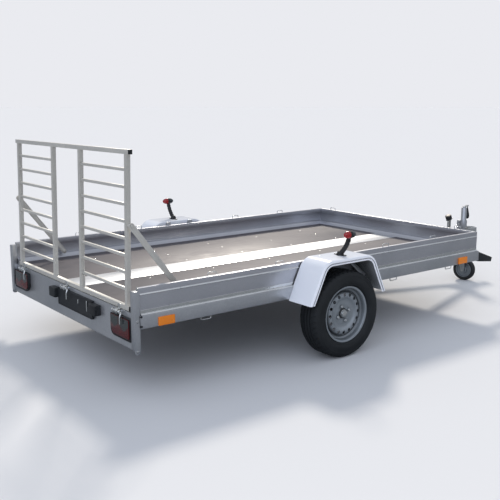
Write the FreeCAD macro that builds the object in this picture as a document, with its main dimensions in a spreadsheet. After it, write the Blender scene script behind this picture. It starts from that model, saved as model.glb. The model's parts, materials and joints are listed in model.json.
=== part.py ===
import FreeCAD, Part
import math
import os
import Sketcher

# Utility trailer: single axle, low sheet sides, fold-down ladder gate, jockey wheel.
# X runs forward, Y to the left, Z up from the ground. All sizes are millimetres.
# The origin is on the ground, midway along the overall length.

os.makedirs("parts", exist_ok=True)
doc = FreeCAD.newDocument("utility_trailer")
sheet = doc.addObject("Spreadsheet::Sheet", "Sizes")


class Size:
    """A size kept twice: as a number and as the sheet formula that gives it."""

    def __init__(self, value, text):
        self.value = float(value)
        self.text = text

    def __add__(self, other):
        other = as_size(other)
        return Size(self.value + other.value, "(%s + %s)" % (self.text, other.text))

    def __sub__(self, other):
        other = as_size(other)
        return Size(self.value - other.value, "(%s - %s)" % (self.text, other.text))

    def __mul__(self, other):
        other = as_size(other)
        return Size(self.value * other.value, "(%s * %s)" % (self.text, other.text))

    def __truediv__(self, other):
        other = as_size(other)
        return Size(self.value / other.value, "(%s / %s)" % (self.text, other.text))

    def __neg__(self):
        return Size(-self.value, "(0 - %s)" % self.text)

    def __radd__(self, other):
        return as_size(other) + self

    def __rsub__(self, other):
        return as_size(other) - self

    def __rmul__(self, other):
        return as_size(other) * self


def as_size(value):
    """A plain number as a size."""
    if isinstance(value, Size):
        return value
    return Size(value, "%.6g" % value)


def cosine(angle):
    return Size(math.cos(math.radians(angle.value)), "cos(%s * 1 deg)" % angle.text)


def sine(angle):
    return Size(math.sin(math.radians(angle.value)), "sin(%s * 1 deg)" % angle.text)


def reach(run, rise):
    """The straight distance over a run and a rise."""
    value = math.hypot(run.value, rise.value)
    return Size(value, "sqrt(%s * %s + %s * %s)" % (run.text, run.text, rise.text, rise.text))


def slope(run, rise):
    """The angle in degrees of a line over a run and a rise."""
    value = math.degrees(math.atan2(rise.value, run.value))
    return Size(value, "(atan2(%s; %s) / 1 deg)" % (rise.text, run.text))


row_number = [0]


def cell(name, value):
    """Writes one named size into the sheet and returns it."""
    row_number[0] += 1
    row = row_number[0]
    sheet.set("A%d" % row, name)
    sheet.set("B%d" % row, "%.6g" % value)
    sheet.setAlias("B%d" % row, name)
    return Size(value, "Sizes.%s" % name)


# Overall
overall_length = cell("overall_length", 4236)
tail_behind = cell("tail_behind", 40)
gate_plane = -overall_length / 2 + tail_behind


def ahead(value):
    """X of a place given as the distance ahead of the closed gate's rear face."""
    return gate_plane + value


# Lower frame
rail_outer = cell("rail_outer", 891)
rail_width = cell("rail_width", 60)
rail_height = cell("rail_height", 74)
rail_bottom = cell("rail_bottom", 396)
rail_wall = cell("rail_wall", 3)
rail_start = cell("rail_start", 12)
rail_end = cell("rail_end", 3006)
rail_top = rail_bottom + rail_height
rail_inner = rail_outer - rail_width
cross_width = cell("cross_width", 40)
cross_pitch = cell("cross_pitch", 500)
cross_ahead = cell("cross_ahead", 88)

# Side and front panels
panel_outer = cell("panel_outer", 876)
panel_top = cell("panel_top", 621)
panel_wall = cell("panel_wall", 2)
panel_front = cell("panel_front", 2991)
rim_width = cell("rim_width", 24)
rim_height = cell("rim_height", 34)
foot_depth = cell("foot_depth", 38)
foot_height = cell("foot_height", 39)

# Floor
floor_thick = cell("floor_thick", 12)
floor_start = cell("floor_start", 34)
floor_gap = cell("floor_gap", 2)
strip_width = cell("strip_width", 236)
strip_thick = cell("strip_thick", 2)
floor_top = rail_top + floor_thick

# Rear posts and rear beam
post_side = cell("post_side", 36)
post_inner = cell("post_inner", 850)
post_behind = cell("post_behind", 24)
post_top = cell("post_top", 606)
post_bottom = cell("post_bottom", 281)
post_tip = cell("post_tip", 27)
beam_wall = cell("beam_wall", 2)
beam_web = cell("beam_web", 3)
beam_bend = cell("beam_bend", 350)
beam_lip_back = cell("beam_lip_back", 16)
beam_lip_top = cell("beam_lip_top", 283)
beam_lip_drop = cell("beam_lip_drop", 8)
beam_flange = cell("beam_flange", 37)

# Lamps and plate holder on the rear beam
lamp_inner = cell("lamp_inner", 604)
lamp_outer = cell("lamp_outer", 835)
lamp_bottom = cell("lamp_bottom", 333)
lamp_top = cell("lamp_top", 437)
lamp_back = cell("lamp_back", 22)
plate_middle = cell("plate_middle", 168)
plate_length = cell("plate_length", 520)
plate_bottom = cell("plate_bottom", 335)
plate_top = cell("plate_top", 447)
plate_back = cell("plate_back", 15)
plate_lamp_wide = cell("plate_lamp_wide", 60)
plate_lamp_bottom = cell("plate_lamp_bottom", 384)
plate_lamp_top = cell("plate_lamp_top", 434)

# Gate: all heights are above the hinge pin
pin_behind = cell("pin_behind", 22)
pin_height = cell("pin_height", 462)
pin_radius = cell("pin_radius", 6)
pin_clearance = cell("pin_clearance", 0.3)
gate_half = cell("gate_half", 790)
gate_tube = cell("gate_tube", 25)
gate_wall = cell("gate_wall", 2)
gate_low = cell("gate_low", 15)
gate_high = cell("gate_high", 888)
gate_cap = cell("gate_cap", 4)
gate_lean = cell("gate_lean", 1.56)
upright_outer = cell("upright_outer", 767.5)
upright_inner = cell("upright_inner", 205)
rung_side = cell("rung_side", 16)
rung_first = cell("rung_first", 130)
rung_pitch = cell("rung_pitch", 92.9)
hinge_side = cell("hinge_side", 684)
strap_wide = cell("strap_wide", 30)
strap_thick = cell("strap_thick", 6)
eye_radius = cell("eye_radius", 12)
lug_gap = cell("lug_gap", 3)
lug_thick = cell("lug_thick", 5)

# Gate struts
strut_face = cell("strut_face", 795)
strut_thick = cell("strut_thick", 5)
strut_wide = cell("strut_wide", 34)
strut_bolt_x = cell("strut_bolt_x", 12.5)
strut_bolt_z = cell("strut_bolt_z", 945)
strut_foot_x = cell("strut_foot_x", 345)
strut_foot_z = cell("strut_foot_z", 528)
strut_pin = cell("strut_pin", 5)
strut_gap = cell("strut_gap", 6)

# Axle and wheels
axle_ahead = cell("axle_ahead", 1392)
wheel_radius = cell("wheel_radius", 280.6)
wheel_side = cell("wheel_side", 1001)
tyre_half = cell("tyre_half", 82.5)
rim_radius = cell("rim_radius", 182)
rim_half = cell("rim_half", 64)
vent_ring = cell("vent_ring", 124)
vent_radius = cell("vent_radius", 9.5)
bolt_ring = cell("bolt_ring", 50)
bolt_head = cell("bolt_head", 10)
bolt_tall = cell("bolt_tall", 14)
bolt_turn = cell("bolt_turn", 20)
hub_face = cell("hub_face", 26)
spindle_radius = cell("spindle_radius", 15)
spindle_clearance = cell("spindle_clearance", 0.5)
axle_tube = cell("axle_tube", 60)
axle_lead = cell("axle_lead", 150)
axle_half = cell("axle_half", 835)
axle_seat = cell("axle_seat", 6)
arm_thick = cell("arm_thick", 30)
arm_wide = cell("arm_wide", 56)

# Fenders
fender_width = cell("fender_width", 204)
fender_inner = rail_outer
fender_outer = fender_inner + fender_width
fender_top = cell("fender_top", 648)
fender_bottom = cell("fender_bottom", 388)
fender_half_top = cell("fender_half_top", 210)
fender_half_low = cell("fender_half_low", 333)
fender_round = cell("fender_round", 100)
fender_wall = cell("fender_wall", 3)
fender_lip = cell("fender_lip", 18)
fender_bead = cell("fender_bead", 6)
fender_step = cell("fender_step", 5)
bracket_wide = cell("bracket_wide", 40)
bracket_reach = cell("bracket_reach", 70)
bracket_rear = cell("bracket_rear", 120)
bracket_front = cell("bracket_front", 90)
bracket_thick = cell("bracket_thick", 4)

# Marker lamps
marker_ahead = cell("marker_ahead", 14)
marker_inset = cell("marker_inset", 10)
marker_flange = cell("marker_flange", 98)
flange_thick = cell("flange_thick", 5)
marker_arm = cell("marker_arm", 15)
marker_bend = cell("marker_bend", 112)
marker_sweep = cell("marker_sweep", 60)
marker_skew = cell("marker_skew", 30)
marker_base = cell("marker_base", 28)
marker_rise = cell("marker_rise", 10)
marker_lens = cell("marker_lens", 24)
marker_length = cell("marker_length", 98)

# Small pieces along the sides
reflector_long = cell("reflector_long", 105)
reflector_tall = cell("reflector_tall", 50)
reflector_thick = cell("reflector_thick", 8)
reflector_rear = cell("reflector_rear", 108)
reflector_front = cell("reflector_front", 256)
cap_long = cell("cap_long", 172)
cap_low = cell("cap_low", 31)
cap_nose = cell("cap_nose", 33)
loop_half = cell("loop_half", 29)
loop_tall = cell("loop_tall", 21)
loop_wire = cell("loop_wire", 2.5)
loop_bend = cell("loop_bend", 6)
loop_rear = cell("loop_rear", 488)
loop_front = cell("loop_front", 523)
loop_pitch = cell("loop_pitch", 505)
loop_inset = cell("loop_inset", 176)
hook_half = cell("hook_half", 34)
hook_deep = cell("hook_deep", 18)
hook_wire = cell("hook_wire", 3)
hook_rear = cell("hook_rear", 428)
hook_middle = cell("hook_middle", 2018)
hook_pitch = cell("hook_pitch", 610)

# Drawbar, coupling and jockey wheel
draw_wide = cell("draw_wide", 50)
draw_tall = cell("draw_tall", 60)
draw_wall = cell("draw_wall", 3)
draw_root_y = cell("draw_root_y", 520)
draw_tip_y = cell("draw_tip_y", 30)
ball_height = cell("ball_height", 405)
ball_radius = cell("ball_radius", 25)
tip_back = cell("tip_back", 140)
head_radius = cell("head_radius", 46)
gusset_thick = cell("gusset_thick", 6)
jockey_back = cell("jockey_back", 355)
jockey_stand = cell("jockey_stand", 36)
jockey_radius = cell("jockey_radius", 100)
jockey_tube = cell("jockey_tube", 24)
jockey_top = cell("jockey_top", 668)
jockey_low = cell("jockey_low", 330)
jockey_turn = cell("jockey_turn", 106)
jockey_trail = cell("jockey_trail", 30)
leg_top = cell("leg_top", 560)
leg_clear = cell("leg_clear", 22)
swivel_radius = cell("swivel_radius", 10)
lever_long = cell("lever_long", 64)
lever_turn = cell("lever_turn", 36)
crank_run = cell("crank_run", 112)
crank_side = cell("crank_side", 45)
holder_back = cell("holder_back", 352)
holder_radius = cell("holder_radius", 28)
holder_long = cell("holder_long", 42)
holder_tilt = cell("holder_tilt", 26)
holder_low = cell("holder_low", 540)
holder_sheet = cell("holder_sheet", 4)


# Ways of making a piece
SIDES = (("left", 1), ("right", -1))
AXIS_TURN = {
    "x": FreeCAD.Rotation(FreeCAD.Vector(1, 1, 1), 120),
    "y": FreeCAD.Rotation(FreeCAD.Vector(1, 0, 0), 90),
    "z": FreeCAD.Rotation(),
}
CYLINDER_TURN = {
    "x": FreeCAD.Rotation(FreeCAD.Vector(0, 1, 0), 90),
    "y": FreeCAD.Rotation(FreeCAD.Vector(1, 0, 0), -90),
    "z": FreeCAD.Rotation(),
}


def put(thing, x, y, z, turn=None):
    """Places an object, each coordinate and any turn (axis, angle) bound to the sheet."""
    spot = (as_size(x), as_size(y), as_size(z))
    base = FreeCAD.Vector(spot[0].value, spot[1].value, spot[2].value)
    angle = None
    if isinstance(turn, tuple):
        angle = as_size(turn[1])
        turn = FreeCAD.Rotation(FreeCAD.Vector(*turn[0]), angle.value)
    thing.Placement = FreeCAD.Placement(base, turn or FreeCAD.Rotation())
    for letter, size in zip("xyz", spot):
        thing.setExpression("Placement.Base.%s" % letter, size.text)
    if angle is not None:
        thing.setExpression("Placement.Rotation.Angle", angle.text)
    return thing


def block(name, long, wide, tall, x, y, z, turn=None):
    """A box from its low corner."""
    thing = doc.addObject("Part::Box", name)
    for prop, size in (("Length", long), ("Width", wide), ("Height", tall)):
        size = as_size(size)
        setattr(thing, prop, size.value)
        thing.setExpression(prop, size.text)
    return put(thing, x, y, z, turn)


def rod(name, axis, radius, long, x, y, z, turn=None):
    """A cylinder from its low end along one axis."""
    thing = doc.addObject("Part::Cylinder", name)
    for prop, size in (("Radius", radius), ("Height", long)):
        size = as_size(size)
        setattr(thing, prop, size.value)
        thing.setExpression(prop, size.text)
    return put(thing, x, y, z, turn or CYLINDER_TURN[axis])


def bent(name, bend, radius, angle, x, y, z, turn):
    """A round bar bent through an angle, as a piece of a ring."""
    thing = doc.addObject("Part::Torus", name)
    for prop, size in (("Radius1", bend), ("Radius2", radius), ("Angle3", angle)):
        size = as_size(size)
        setattr(thing, prop, size.value)
        thing.setExpression(prop, size.text)
    return put(thing, x, y, z, turn)


def cone(name, low_radius, top_radius, long, x, y, z, turn=None):
    """A tapered round piece standing along Z."""
    thing = doc.addObject("Part::Cone", name)
    for prop, size in (("Radius1", low_radius), ("Radius2", top_radius), ("Height", long)):
        size = as_size(size)
        setattr(thing, prop, size.value)
        thing.setExpression(prop, size.text)
    return put(thing, x, y, z, turn)


def hexagon(name, radius, long, x, y, z, turn):
    """A bolt head with six sides; radius is to its corners."""
    thing = doc.addObject("Part::Prism", name)
    thing.Polygon = 6
    for prop, size in (("Circumradius", radius), ("Height", long)):
        setattr(thing, prop, size.value)
        thing.setExpression(prop, size.text)
    return put(thing, x, y, z, turn)


def fuse(name, things):
    """One solid from several."""
    thing = doc.addObject("Part::MultiFuse", name)
    thing.Shapes = things
    thing.Refine = True
    return thing


def cut(name, base, tool):
    """The first solid less the second."""
    thing = doc.addObject("Part::Cut", name)
    thing.Base = base
    thing.Tool = tool
    thing.Refine = True
    return thing


def group(name, things):
    """Like pieces that do not touch, kept in one file."""
    thing = doc.addObject("Part::Compound", name)
    thing.Links = things
    return thing


def outline(body, name, loops):
    """A sketch of closed polygons, every corner bound to the sheet."""
    sketch = body.newObject("Sketcher::SketchObject", name)
    plane = [f for f in body.Origin.OriginFeatures if f.Role == "XY_Plane"][0]
    sketch.AttachmentSupport = [(plane, "")]
    sketch.MapMode = "FlatFace"
    for loop in loops:
        corners = [(as_size(u), as_size(v)) for u, v in loop]
        spots = [FreeCAD.Vector(u.value, v.value, 0) for u, v in corners]
        first = sketch.GeometryCount
        count = len(spots)
        lines = [Part.LineSegment(spots[i], spots[(i + 1) % count]) for i in range(count)]
        sketch.addGeometry(lines, False)
        joins = []
        for i in range(count):
            joins.append(Sketcher.Constraint("Coincident", first + i, 2, first + (i + 1) % count, 1))
        sketch.addConstraint(joins)
        for i, (u, v) in enumerate(corners):
            for kind, size in (("DistanceX", u), ("DistanceY", v)):
                index = sketch.addConstraint(Sketcher.Constraint(kind, first + i, 1, size.value))
                if "Sizes." in size.text:
                    sketch.setExpression("Constraints[%d]" % index, size.text)
    return sketch


def corner_edges(shape, corners):
    """Names of the pad's straight edges that stand at the given sketch corners."""
    found = []
    for index, edge in enumerate(shape.Edges):
        ends = [v.Point for v in edge.Vertexes]
        if len(ends) != 2 or abs(ends[0].z - ends[1].z) < 0.01:
            continue
        for u, v in corners:
            near = all(abs(p.x - as_size(u).value) < 0.01 and abs(p.y - as_size(v).value) < 0.01 for p in ends)
            if near:
                found.append("Edge%d" % (index + 1))
    return found


def rounded(body, name, corners, radius):
    """Rounds the upright edges of the body's last feature at the given corners."""
    doc.recompute()
    before = body.Tip
    fillet = body.newObject("PartDesign::Fillet", name)
    fillet.Base = (before, corner_edges(before.Shape, corners))
    fillet.Radius = radius.value
    fillet.setExpression("Radius", radius.text)
    return fillet


def slab(name, axis, loops, long, x, y, z, both=False, turn=None):
    """A padded outline; the sketch looks along the given axis.

    Along x the corners are (y, z); along z they are (x, y); along y they are (x, z)
    and the pad runs towards the right, or both ways from its middle.
    """
    body = doc.addObject("PartDesign::Body", name)
    sketch = outline(body, name + "_outline", loops)
    pad = body.newObject("PartDesign::Pad", name + "_pad")
    pad.Profile = sketch
    long = as_size(long)
    pad.Length = long.value
    pad.setExpression("Length", long.text)
    if both:
        pad.SideType = "Symmetric"
    sketch.Visibility = False
    return put(body, x, y, z, turn or AXIS_TURN[axis])


def turned(name, loops, x, y, z, turn=None):
    """A body of revolution about the Y axis; the corners are (radius, y)."""
    body = doc.addObject("PartDesign::Body", name)
    sketch = outline(body, name + "_outline", loops)
    spin = body.newObject("PartDesign::Revolution", name + "_spin")
    spin.Profile = sketch
    spin.ReferenceAxis = (sketch, ["V_Axis"])
    spin.Angle = 360
    sketch.Visibility = False
    return put(body, x, y, z, turn)


def ring_of_holes(body, name, ring, radius, count):
    """Cuts round holes along Y, evenly spaced round the body's Y axis."""
    plane = [f for f in body.Origin.OriginFeatures if f.Role == "XZ_Plane"][0]
    axis = [f for f in body.Origin.OriginFeatures if f.Role == "Y_Axis"][0]
    sketch = body.newObject("Sketcher::SketchObject", name + "_outline")
    sketch.AttachmentSupport = [(plane, "")]
    sketch.MapMode = "FlatFace"
    sketch.addGeometry(Part.Circle(FreeCAD.Vector(ring.value, 0, 0), FreeCAD.Vector(0, 0, 1), radius.value), False)
    sketch.addConstraint(Sketcher.Constraint("PointOnObject", 0, 3, -1))
    for kind, size in (("DistanceX", ring), ("Radius", radius)):
        if kind == "Radius":
            index = sketch.addConstraint(Sketcher.Constraint(kind, 0, size.value))
        else:
            index = sketch.addConstraint(Sketcher.Constraint(kind, 0, 3, size.value))
        sketch.setExpression("Constraints[%d]" % index, size.text)
    hole = body.newObject("PartDesign::Pocket", name + "_hole")
    hole.Profile = sketch
    hole.Type = "ThroughAll"
    hole.SideType = "Symmetric"
    pattern = body.newObject("PartDesign::PolarPattern", name + "_ring")
    pattern.Originals = [hole]
    pattern.Axis = (axis, [""])
    pattern.Angle = 360
    pattern.Occurrences = count
    body.Tip = pattern
    sketch.Visibility = False
    return body


nodes = {}


def low_end(side, near, far):
    """The lower Y of a piece that spans near to far on one side."""
    return near if side > 0 else -far


def finish(name, thing):
    """Marks an object as one of the trailer's pieces."""
    thing.Label = name
    nodes[name] = thing
    return thing


def channel(name, side, outer, start, end):
    """A side rail: a channel open towards the middle."""
    a = outer * side
    b = (outer - rail_wall) * side
    c = (outer - rail_width) * side
    low = rail_bottom
    high = rail_bottom + rail_height
    loop = [
        (a, low),
        (c, low),
        (c, low + rail_wall),
        (b, low + rail_wall),
        (b, high - rail_wall),
        (c, high - rail_wall),
        (c, high),
        (a, high),
    ]
    return slab(name, "x", [loop], end - start, ahead(start), 0, 0)


# Lower frame
finish("side_rails", group("side_rails", [
    channel("rail_left", 1, rail_outer, rail_start, rail_end),
    channel("rail_right", -1, rail_outer, rail_start, rail_end),
]))

front_loop = [
    (rail_end, rail_bottom),
    (rail_end - rail_width, rail_bottom),
    (rail_end - rail_width, rail_bottom + rail_wall),
    (rail_end - rail_wall, rail_bottom + rail_wall),
    (rail_end - rail_wall, rail_top - rail_wall),
    (rail_end - rail_width, rail_top - rail_wall),
    (rail_end - rail_width, rail_top),
    (rail_end, rail_top),
]
finish("front_rail", slab("front_rail", "y", [front_loop], rail_inner * 2, gate_plane, 0, 0, both=True))

cross_rows = []
for number in range(5):
    start = axle_ahead + cross_ahead + cross_pitch * (number - 2)
    loop = [
        (start, rail_bottom),
        (start + cross_width, rail_bottom),
        (start + cross_width, rail_bottom + rail_wall),
        (start + rail_wall, rail_bottom + rail_wall),
        (start + rail_wall, rail_top - rail_wall),
        (start + cross_width, rail_top - rail_wall),
        (start + cross_width, rail_top),
        (start, rail_top),
    ]
    cross_rows.append(slab("cross_%d" % (number + 1), "y", [loop], rail_inner * 2, gate_plane, 0, 0, both=True))
finish("cross_members", group("cross_members", cross_rows))


# Panels: a web with a boxed top rim outside and a foot inside
def panel_loops(face, inward):
    """Panel section; face is the outer face, inward is +1 or -1 towards the bed."""
    web = face + panel_wall * inward
    rim = face + rim_width * inward
    foot = face + foot_depth * inward
    low = rail_top
    foot_top = rail_top + foot_height
    rim_low = panel_top - rim_height
    outer = [
        (face, low),
        (face, panel_top),
        (rim, panel_top),
        (rim, rim_low),
        (web, rim_low),
        (web, foot_top),
        (foot, foot_top),
        (foot, low),
        (foot - panel_wall * inward, low),
        (foot - panel_wall * inward, foot_top - panel_wall),
        (web, foot_top - panel_wall),
        (web, low),
    ]
    hole = [
        (web, panel_top - panel_wall),
        (rim - panel_wall * inward, panel_top - panel_wall),
        (rim - panel_wall * inward, rim_low + panel_wall),
        (web, rim_low + panel_wall),
    ]
    return [outer, hole]


mitre_reach = rim_width * 4
for name, side in SIDES:
    raw = slab("side_panel_raw_" + name, "x", panel_loops(panel_outer * side, -side),
               panel_front - rail_start, ahead(rail_start), 0, 0)
    mitre = slab("side_mitre_" + name, "z", [[
        (0, 0),
        (mitre_reach, mitre_reach * side),
        (mitre_reach, -mitre_reach * side),
        (-mitre_reach, -mitre_reach * side),
    ]], panel_top, ahead(panel_front), panel_outer * side, rail_top - 5)
    finish("side_panel_" + name, cut("side_panel_" + name, raw, mitre))

front_raw = slab("front_panel_raw", "y", panel_loops(panel_front, -1), panel_outer * 2, gate_plane, 0, 0, both=True)
corner_cuts = []
for name, side in SIDES:
    corner_cuts.append(slab("front_mitre_" + name, "z", [[
        (0, 0),
        (mitre_reach, mitre_reach * side),
        (-mitre_reach, mitre_reach * side),
        (-mitre_reach, -mitre_reach * side),
    ]], panel_top, ahead(panel_front), panel_outer * side, rail_top - 5))
finish("front_panel", cut("front_panel", front_raw, fuse("front_mitres", corner_cuts)))

# Floor: two boards and the bright strip along the middle
foot_inner = panel_outer - foot_depth
floor_end = panel_front - foot_depth - 1
board_width = foot_inner - 1 - floor_gap / 2
finish("floor_boards", group("floor_boards", [
    block("board_left", floor_end - floor_start, board_width, floor_thick,
          ahead(floor_start), floor_gap / 2, rail_top),
    block("board_right", floor_end - floor_start, board_width, floor_thick,
          ahead(floor_start), -floor_gap / 2 - board_width, rail_top),
]))
finish("floor_strip", block("floor_strip", floor_end - floor_start, strip_width, strip_thick,
                            ahead(floor_start), -strip_width / 2, floor_top))

# Rear posts: square tube with a closed top and a rounded tongue below
posts = []
for name, side in SIDES:
    low_y = post_inner if side > 0 else -post_inner - post_side
    tube = block("post_tube_" + name, post_side, post_side, post_top - post_bottom,
                 ahead(-post_behind), low_y, post_bottom)
    hollow = block("post_hollow_" + name, post_side - rail_wall * 2, post_side - rail_wall * 2,
                   post_top - post_bottom - rail_wall,
                   ahead(-post_behind) + rail_wall, low_y + rail_wall, post_bottom)
    tongue = rod("post_tongue_" + name, "y", post_side / 2, 6, ahead(-post_behind) + post_side / 2,
                 (low_y + post_side - 6) if side > 0 else low_y, post_bottom - post_tip + post_side / 2)
    posts.append(fuse("post_" + name, [cut("post_shell_" + name, tube, hollow), tongue]))
finish("end_posts", group("end_posts", posts))

# Rear beam: upright web, lower part sloping outwards, turned lip, flange under the floor
lip_x = beam_web - beam_lip_back
slope_run = beam_web + beam_lip_back
slope_rise = beam_bend - beam_lip_top
beam_loop = [
    (beam_web, rail_top),
    (beam_web, beam_bend),
    (-beam_lip_back, beam_lip_top),
    (-beam_lip_back, beam_lip_top - beam_lip_drop),
    (-beam_lip_back + beam_wall, beam_lip_top - beam_lip_drop),
    (-beam_lip_back + beam_wall, beam_lip_top - 1),
    (beam_web + beam_wall, beam_bend - 1),
    (beam_web + beam_wall, rail_top),
]
beam_sheet = slab("beam_sheet", "y", [beam_loop], post_inner * 2, gate_plane, 0, 0, both=True)
beam_top = block("beam_top", beam_flange, rail_inner * 2, beam_wall,
                 ahead(beam_web), -rail_inner, rail_top - beam_wall)
finish("rear_beam", fuse("rear_beam", [beam_sheet, beam_top]))


def on_slope(height):
    """X of the beam's sloping face at a height below the bend."""
    return beam_web - slope_run * (beam_bend - height) / slope_rise


# Tail lamps and plate holder follow the beam's face
lamps = []
for name, side in SIDES:
    loop = [
        (beam_web, lamp_top),
        (-lamp_back, lamp_top),
        (-lamp_back, lamp_bottom),
        (on_slope(lamp_bottom), lamp_bottom),
        (beam_web, beam_bend),
    ]
    middle = (lamp_inner + lamp_outer) / 2 * side
    lamps.append(slab("tail_lamp_" + name, "y", [loop], lamp_outer - lamp_inner, gate_plane, middle, 0, both=True))
finish("tail_lamps", group("tail_lamps", lamps))

plate_loop = [
    (beam_web, plate_top),
    (-plate_back, plate_top),
    (-plate_back, plate_bottom),
    (on_slope(plate_bottom), plate_bottom),
    (beam_web, beam_bend),
]
plate_body = slab("plate_body", "y", [plate_loop], plate_length, gate_plane, -plate_middle, 0, both=True)
plate_pieces = [plate_body]
for name, side in SIDES:
    edge = -plate_middle + plate_length / 2 * side
    low_y = edge if side > 0 else edge - plate_lamp_wide
    plate_pieces.append(block("plate_lamp_" + name, tail_behind + beam_web, plate_lamp_wide,
                              plate_lamp_top - plate_lamp_bottom, ahead(-tail_behind), low_y,
                              plate_lamp_bottom))
finish("plate_holder", fuse("plate_holder", plate_pieces))

# Hinge lugs: two cheeks and the pin at each of three places
hinge_places = (("left", hinge_side), ("middle", as_size(0)), ("right", -hinge_side))
pin_x = ahead(-pin_behind)
lugs = []
cheek_near = strap_wide / 2 + lug_gap
for name, place in hinge_places:
    cheeks = []
    for mark, side in (("a", 1), ("b", -1)):
        low_y = place + (cheek_near if side > 0 else -cheek_near - lug_thick)
        cheeks.append(block("lug_%s_%s" % (name, mark), pin_behind + eye_radius + beam_web, lug_thick,
                            rail_top - pin_height + 12, pin_x - eye_radius, low_y, pin_height - 12))
    pin = rod("lug_pin_" + name, "y", pin_radius, (cheek_near + lug_thick + 6) * 2, pin_x,
              place - cheek_near - lug_thick - 6, pin_height)
    lugs.append(fuse("hinge_lug_" + name, cheeks + [pin]))
finish("hinge_lugs", group("hinge_lugs", lugs))

# Gate: drawn about its hinge pin, then leaned forward on the pin
lean = ((0, 1, 0), gate_lean)


def on_gate(thing):
    """Moves a piece drawn about the pin to its place on the trailer."""
    return put(thing, pin_x, 0, pin_height, lean)


def hollow_tube(name, wall, long, wide, tall, x, y, z, axis):
    """A square tube open at both ends along one axis."""
    outer = block(name + "_outer", long, wide, tall, x, y, z)
    off_x = 0 if axis == "x" else wall
    off_y = 0 if axis == "y" else wall
    off_z = 0 if axis == "z" else wall
    inner = block(name + "_inner", as_size(long) - as_size(off_x) * 2, as_size(wide) - as_size(off_y) * 2,
                  as_size(tall) - as_size(off_z) * 2, as_size(x) + off_x, as_size(y) + off_y, as_size(z) + off_z)
    return cut(name, outer, inner)


gate_rail_half = gate_half - gate_cap
gate_parts = []
for name, height in (("low", gate_low), ("high", gate_high - gate_tube)):
    gate_parts.append(hollow_tube("gate_rail_" + name, gate_wall, gate_tube, gate_rail_half * 2, gate_tube,
                                  pin_behind, -gate_rail_half, height, "y"))
upright_rows = (
    ("outer_left", upright_outer - gate_tube),
    ("inner_left", upright_inner - gate_tube),
    ("inner_right", -upright_inner),
    ("outer_right", -upright_outer),
)
for name, low_y in upright_rows:
    gate_parts.append(hollow_tube("gate_upright_" + name, gate_wall, gate_tube, gate_tube,
                                  gate_high - gate_low - gate_tube * 2, pin_behind, low_y,
                                  gate_low + gate_tube, "z"))
boss_x = strut_bolt_x + pin_behind
boss_z = strut_bolt_z - pin_height
for name, side in SIDES:
    near = upright_outer * side
    boss_end = (strut_face - 3) * side
    boss_long = strut_face - 3 - upright_outer
    pin_long = strut_thick + 6
    gate_parts.append(rod("strut_boss_" + name, "y", strut_pin + 4, boss_long,
                          boss_x, near if side > 0 else boss_end, boss_z))
    gate_parts.append(rod("strut_pivot_" + name, "y", strut_pin, pin_long,
                          boss_x, boss_end if side > 0 else boss_end - pin_long, boss_z))
    head_y = boss_end + pin_long if side > 0 else boss_end - pin_long - 4
    gate_parts.append(rod("strut_head_" + name, "y", strut_pin + 4, 4, boss_x, head_y, boss_z))
finish("gate_frame", on_gate(fuse("gate_frame", gate_parts)))

rungs = []
rung_long = upright_outer - gate_tube - upright_inner
for panel, low_y in (("left", upright_inner), ("right", -upright_inner - rung_long)):
    for number in range(8):
        rungs.append(block("rung_%s_%d" % (panel, number + 1), rung_side, rung_long, rung_side,
                           pin_behind + gate_tube / 2 - rung_side / 2, low_y,
                           rung_first + rung_pitch * number - rung_side / 2))
finish("gate_rungs", on_gate(group("gate_rungs", rungs)))

caps = []
for level, height in (("low", gate_low), ("high", gate_high - gate_tube)):
    for name, low_y in (("left", gate_rail_half), ("right", -gate_half)):
        caps.append(block("gate_cap_%s_%s" % (level, name), gate_tube, gate_cap, gate_tube,
                          pin_behind, low_y, height))
finish("gate_caps", on_gate(group("gate_caps", caps)))

straps = []
for name, place in hinge_places:
    low_y = place - strap_wide / 2
    upright = block("strap_upright_" + name, strap_thick, strap_wide, gate_low + gate_tube - 8,
                    pin_behind - strap_thick, low_y, 8)
    shelf = block("strap_shelf_" + name, pin_behind, strap_wide, strap_thick, 0, low_y, 8)
    eye = rod("strap_eye_" + name, "y", eye_radius, strap_wide, 0, low_y, 0)
    bore = rod("strap_bore_" + name, "y", pin_radius + pin_clearance, strap_wide + 2, 0, low_y - 1, 0)
    straps.append(cut("gate_strap_" + name, fuse("strap_solid_" + name, [upright, shelf, eye]), bore))
finish("gate_straps", on_gate(group("gate_straps", straps)))

# Struts: flat bars from the gate's uprights down towards the side panels
bolt_x = pin_x + boss_x * cosine(gate_lean) + boss_z * sine(gate_lean)
bolt_z = pin_height + boss_z * cosine(gate_lean) - boss_x * sine(gate_lean)
foot_x = ahead(strut_foot_x)
strut_rise = bolt_z - strut_foot_z
strut_run = foot_x - bolt_x
strut_length = reach(strut_run, strut_rise)
strut_turn = ((0, 1, 0), slope(strut_run, strut_rise))
for name, side in SIDES:
    low_y = strut_face if side > 0 else -strut_face - strut_thick
    bar = block("strut_bar_" + name, strut_length, strut_thick, strut_wide, 0, 0, -strut_wide / 2)
    ends = [rod("strut_end_%s_%s" % (name, mark), "y", strut_wide / 2, strut_thick, place, 0, 0)
            for mark, place in (("top", as_size(0)), ("foot", strut_length))]
    hole = rod("strut_hole_" + name, "y", strut_pin + 0.1, strut_thick + 2, 0, -1, 0)
    bolt_y = -4 if side > 0 else strut_thick
    bolt = rod("strut_foot_bolt_" + name, "y", 9, 4, strut_length, bolt_y, 0)
    solid = cut("strut_" + name, fuse("strut_solid_" + name, [bar] + ends + [bolt]), hole)
    finish("strut_" + name, put(solid, bolt_x, low_y, bolt_z, strut_turn))

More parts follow.
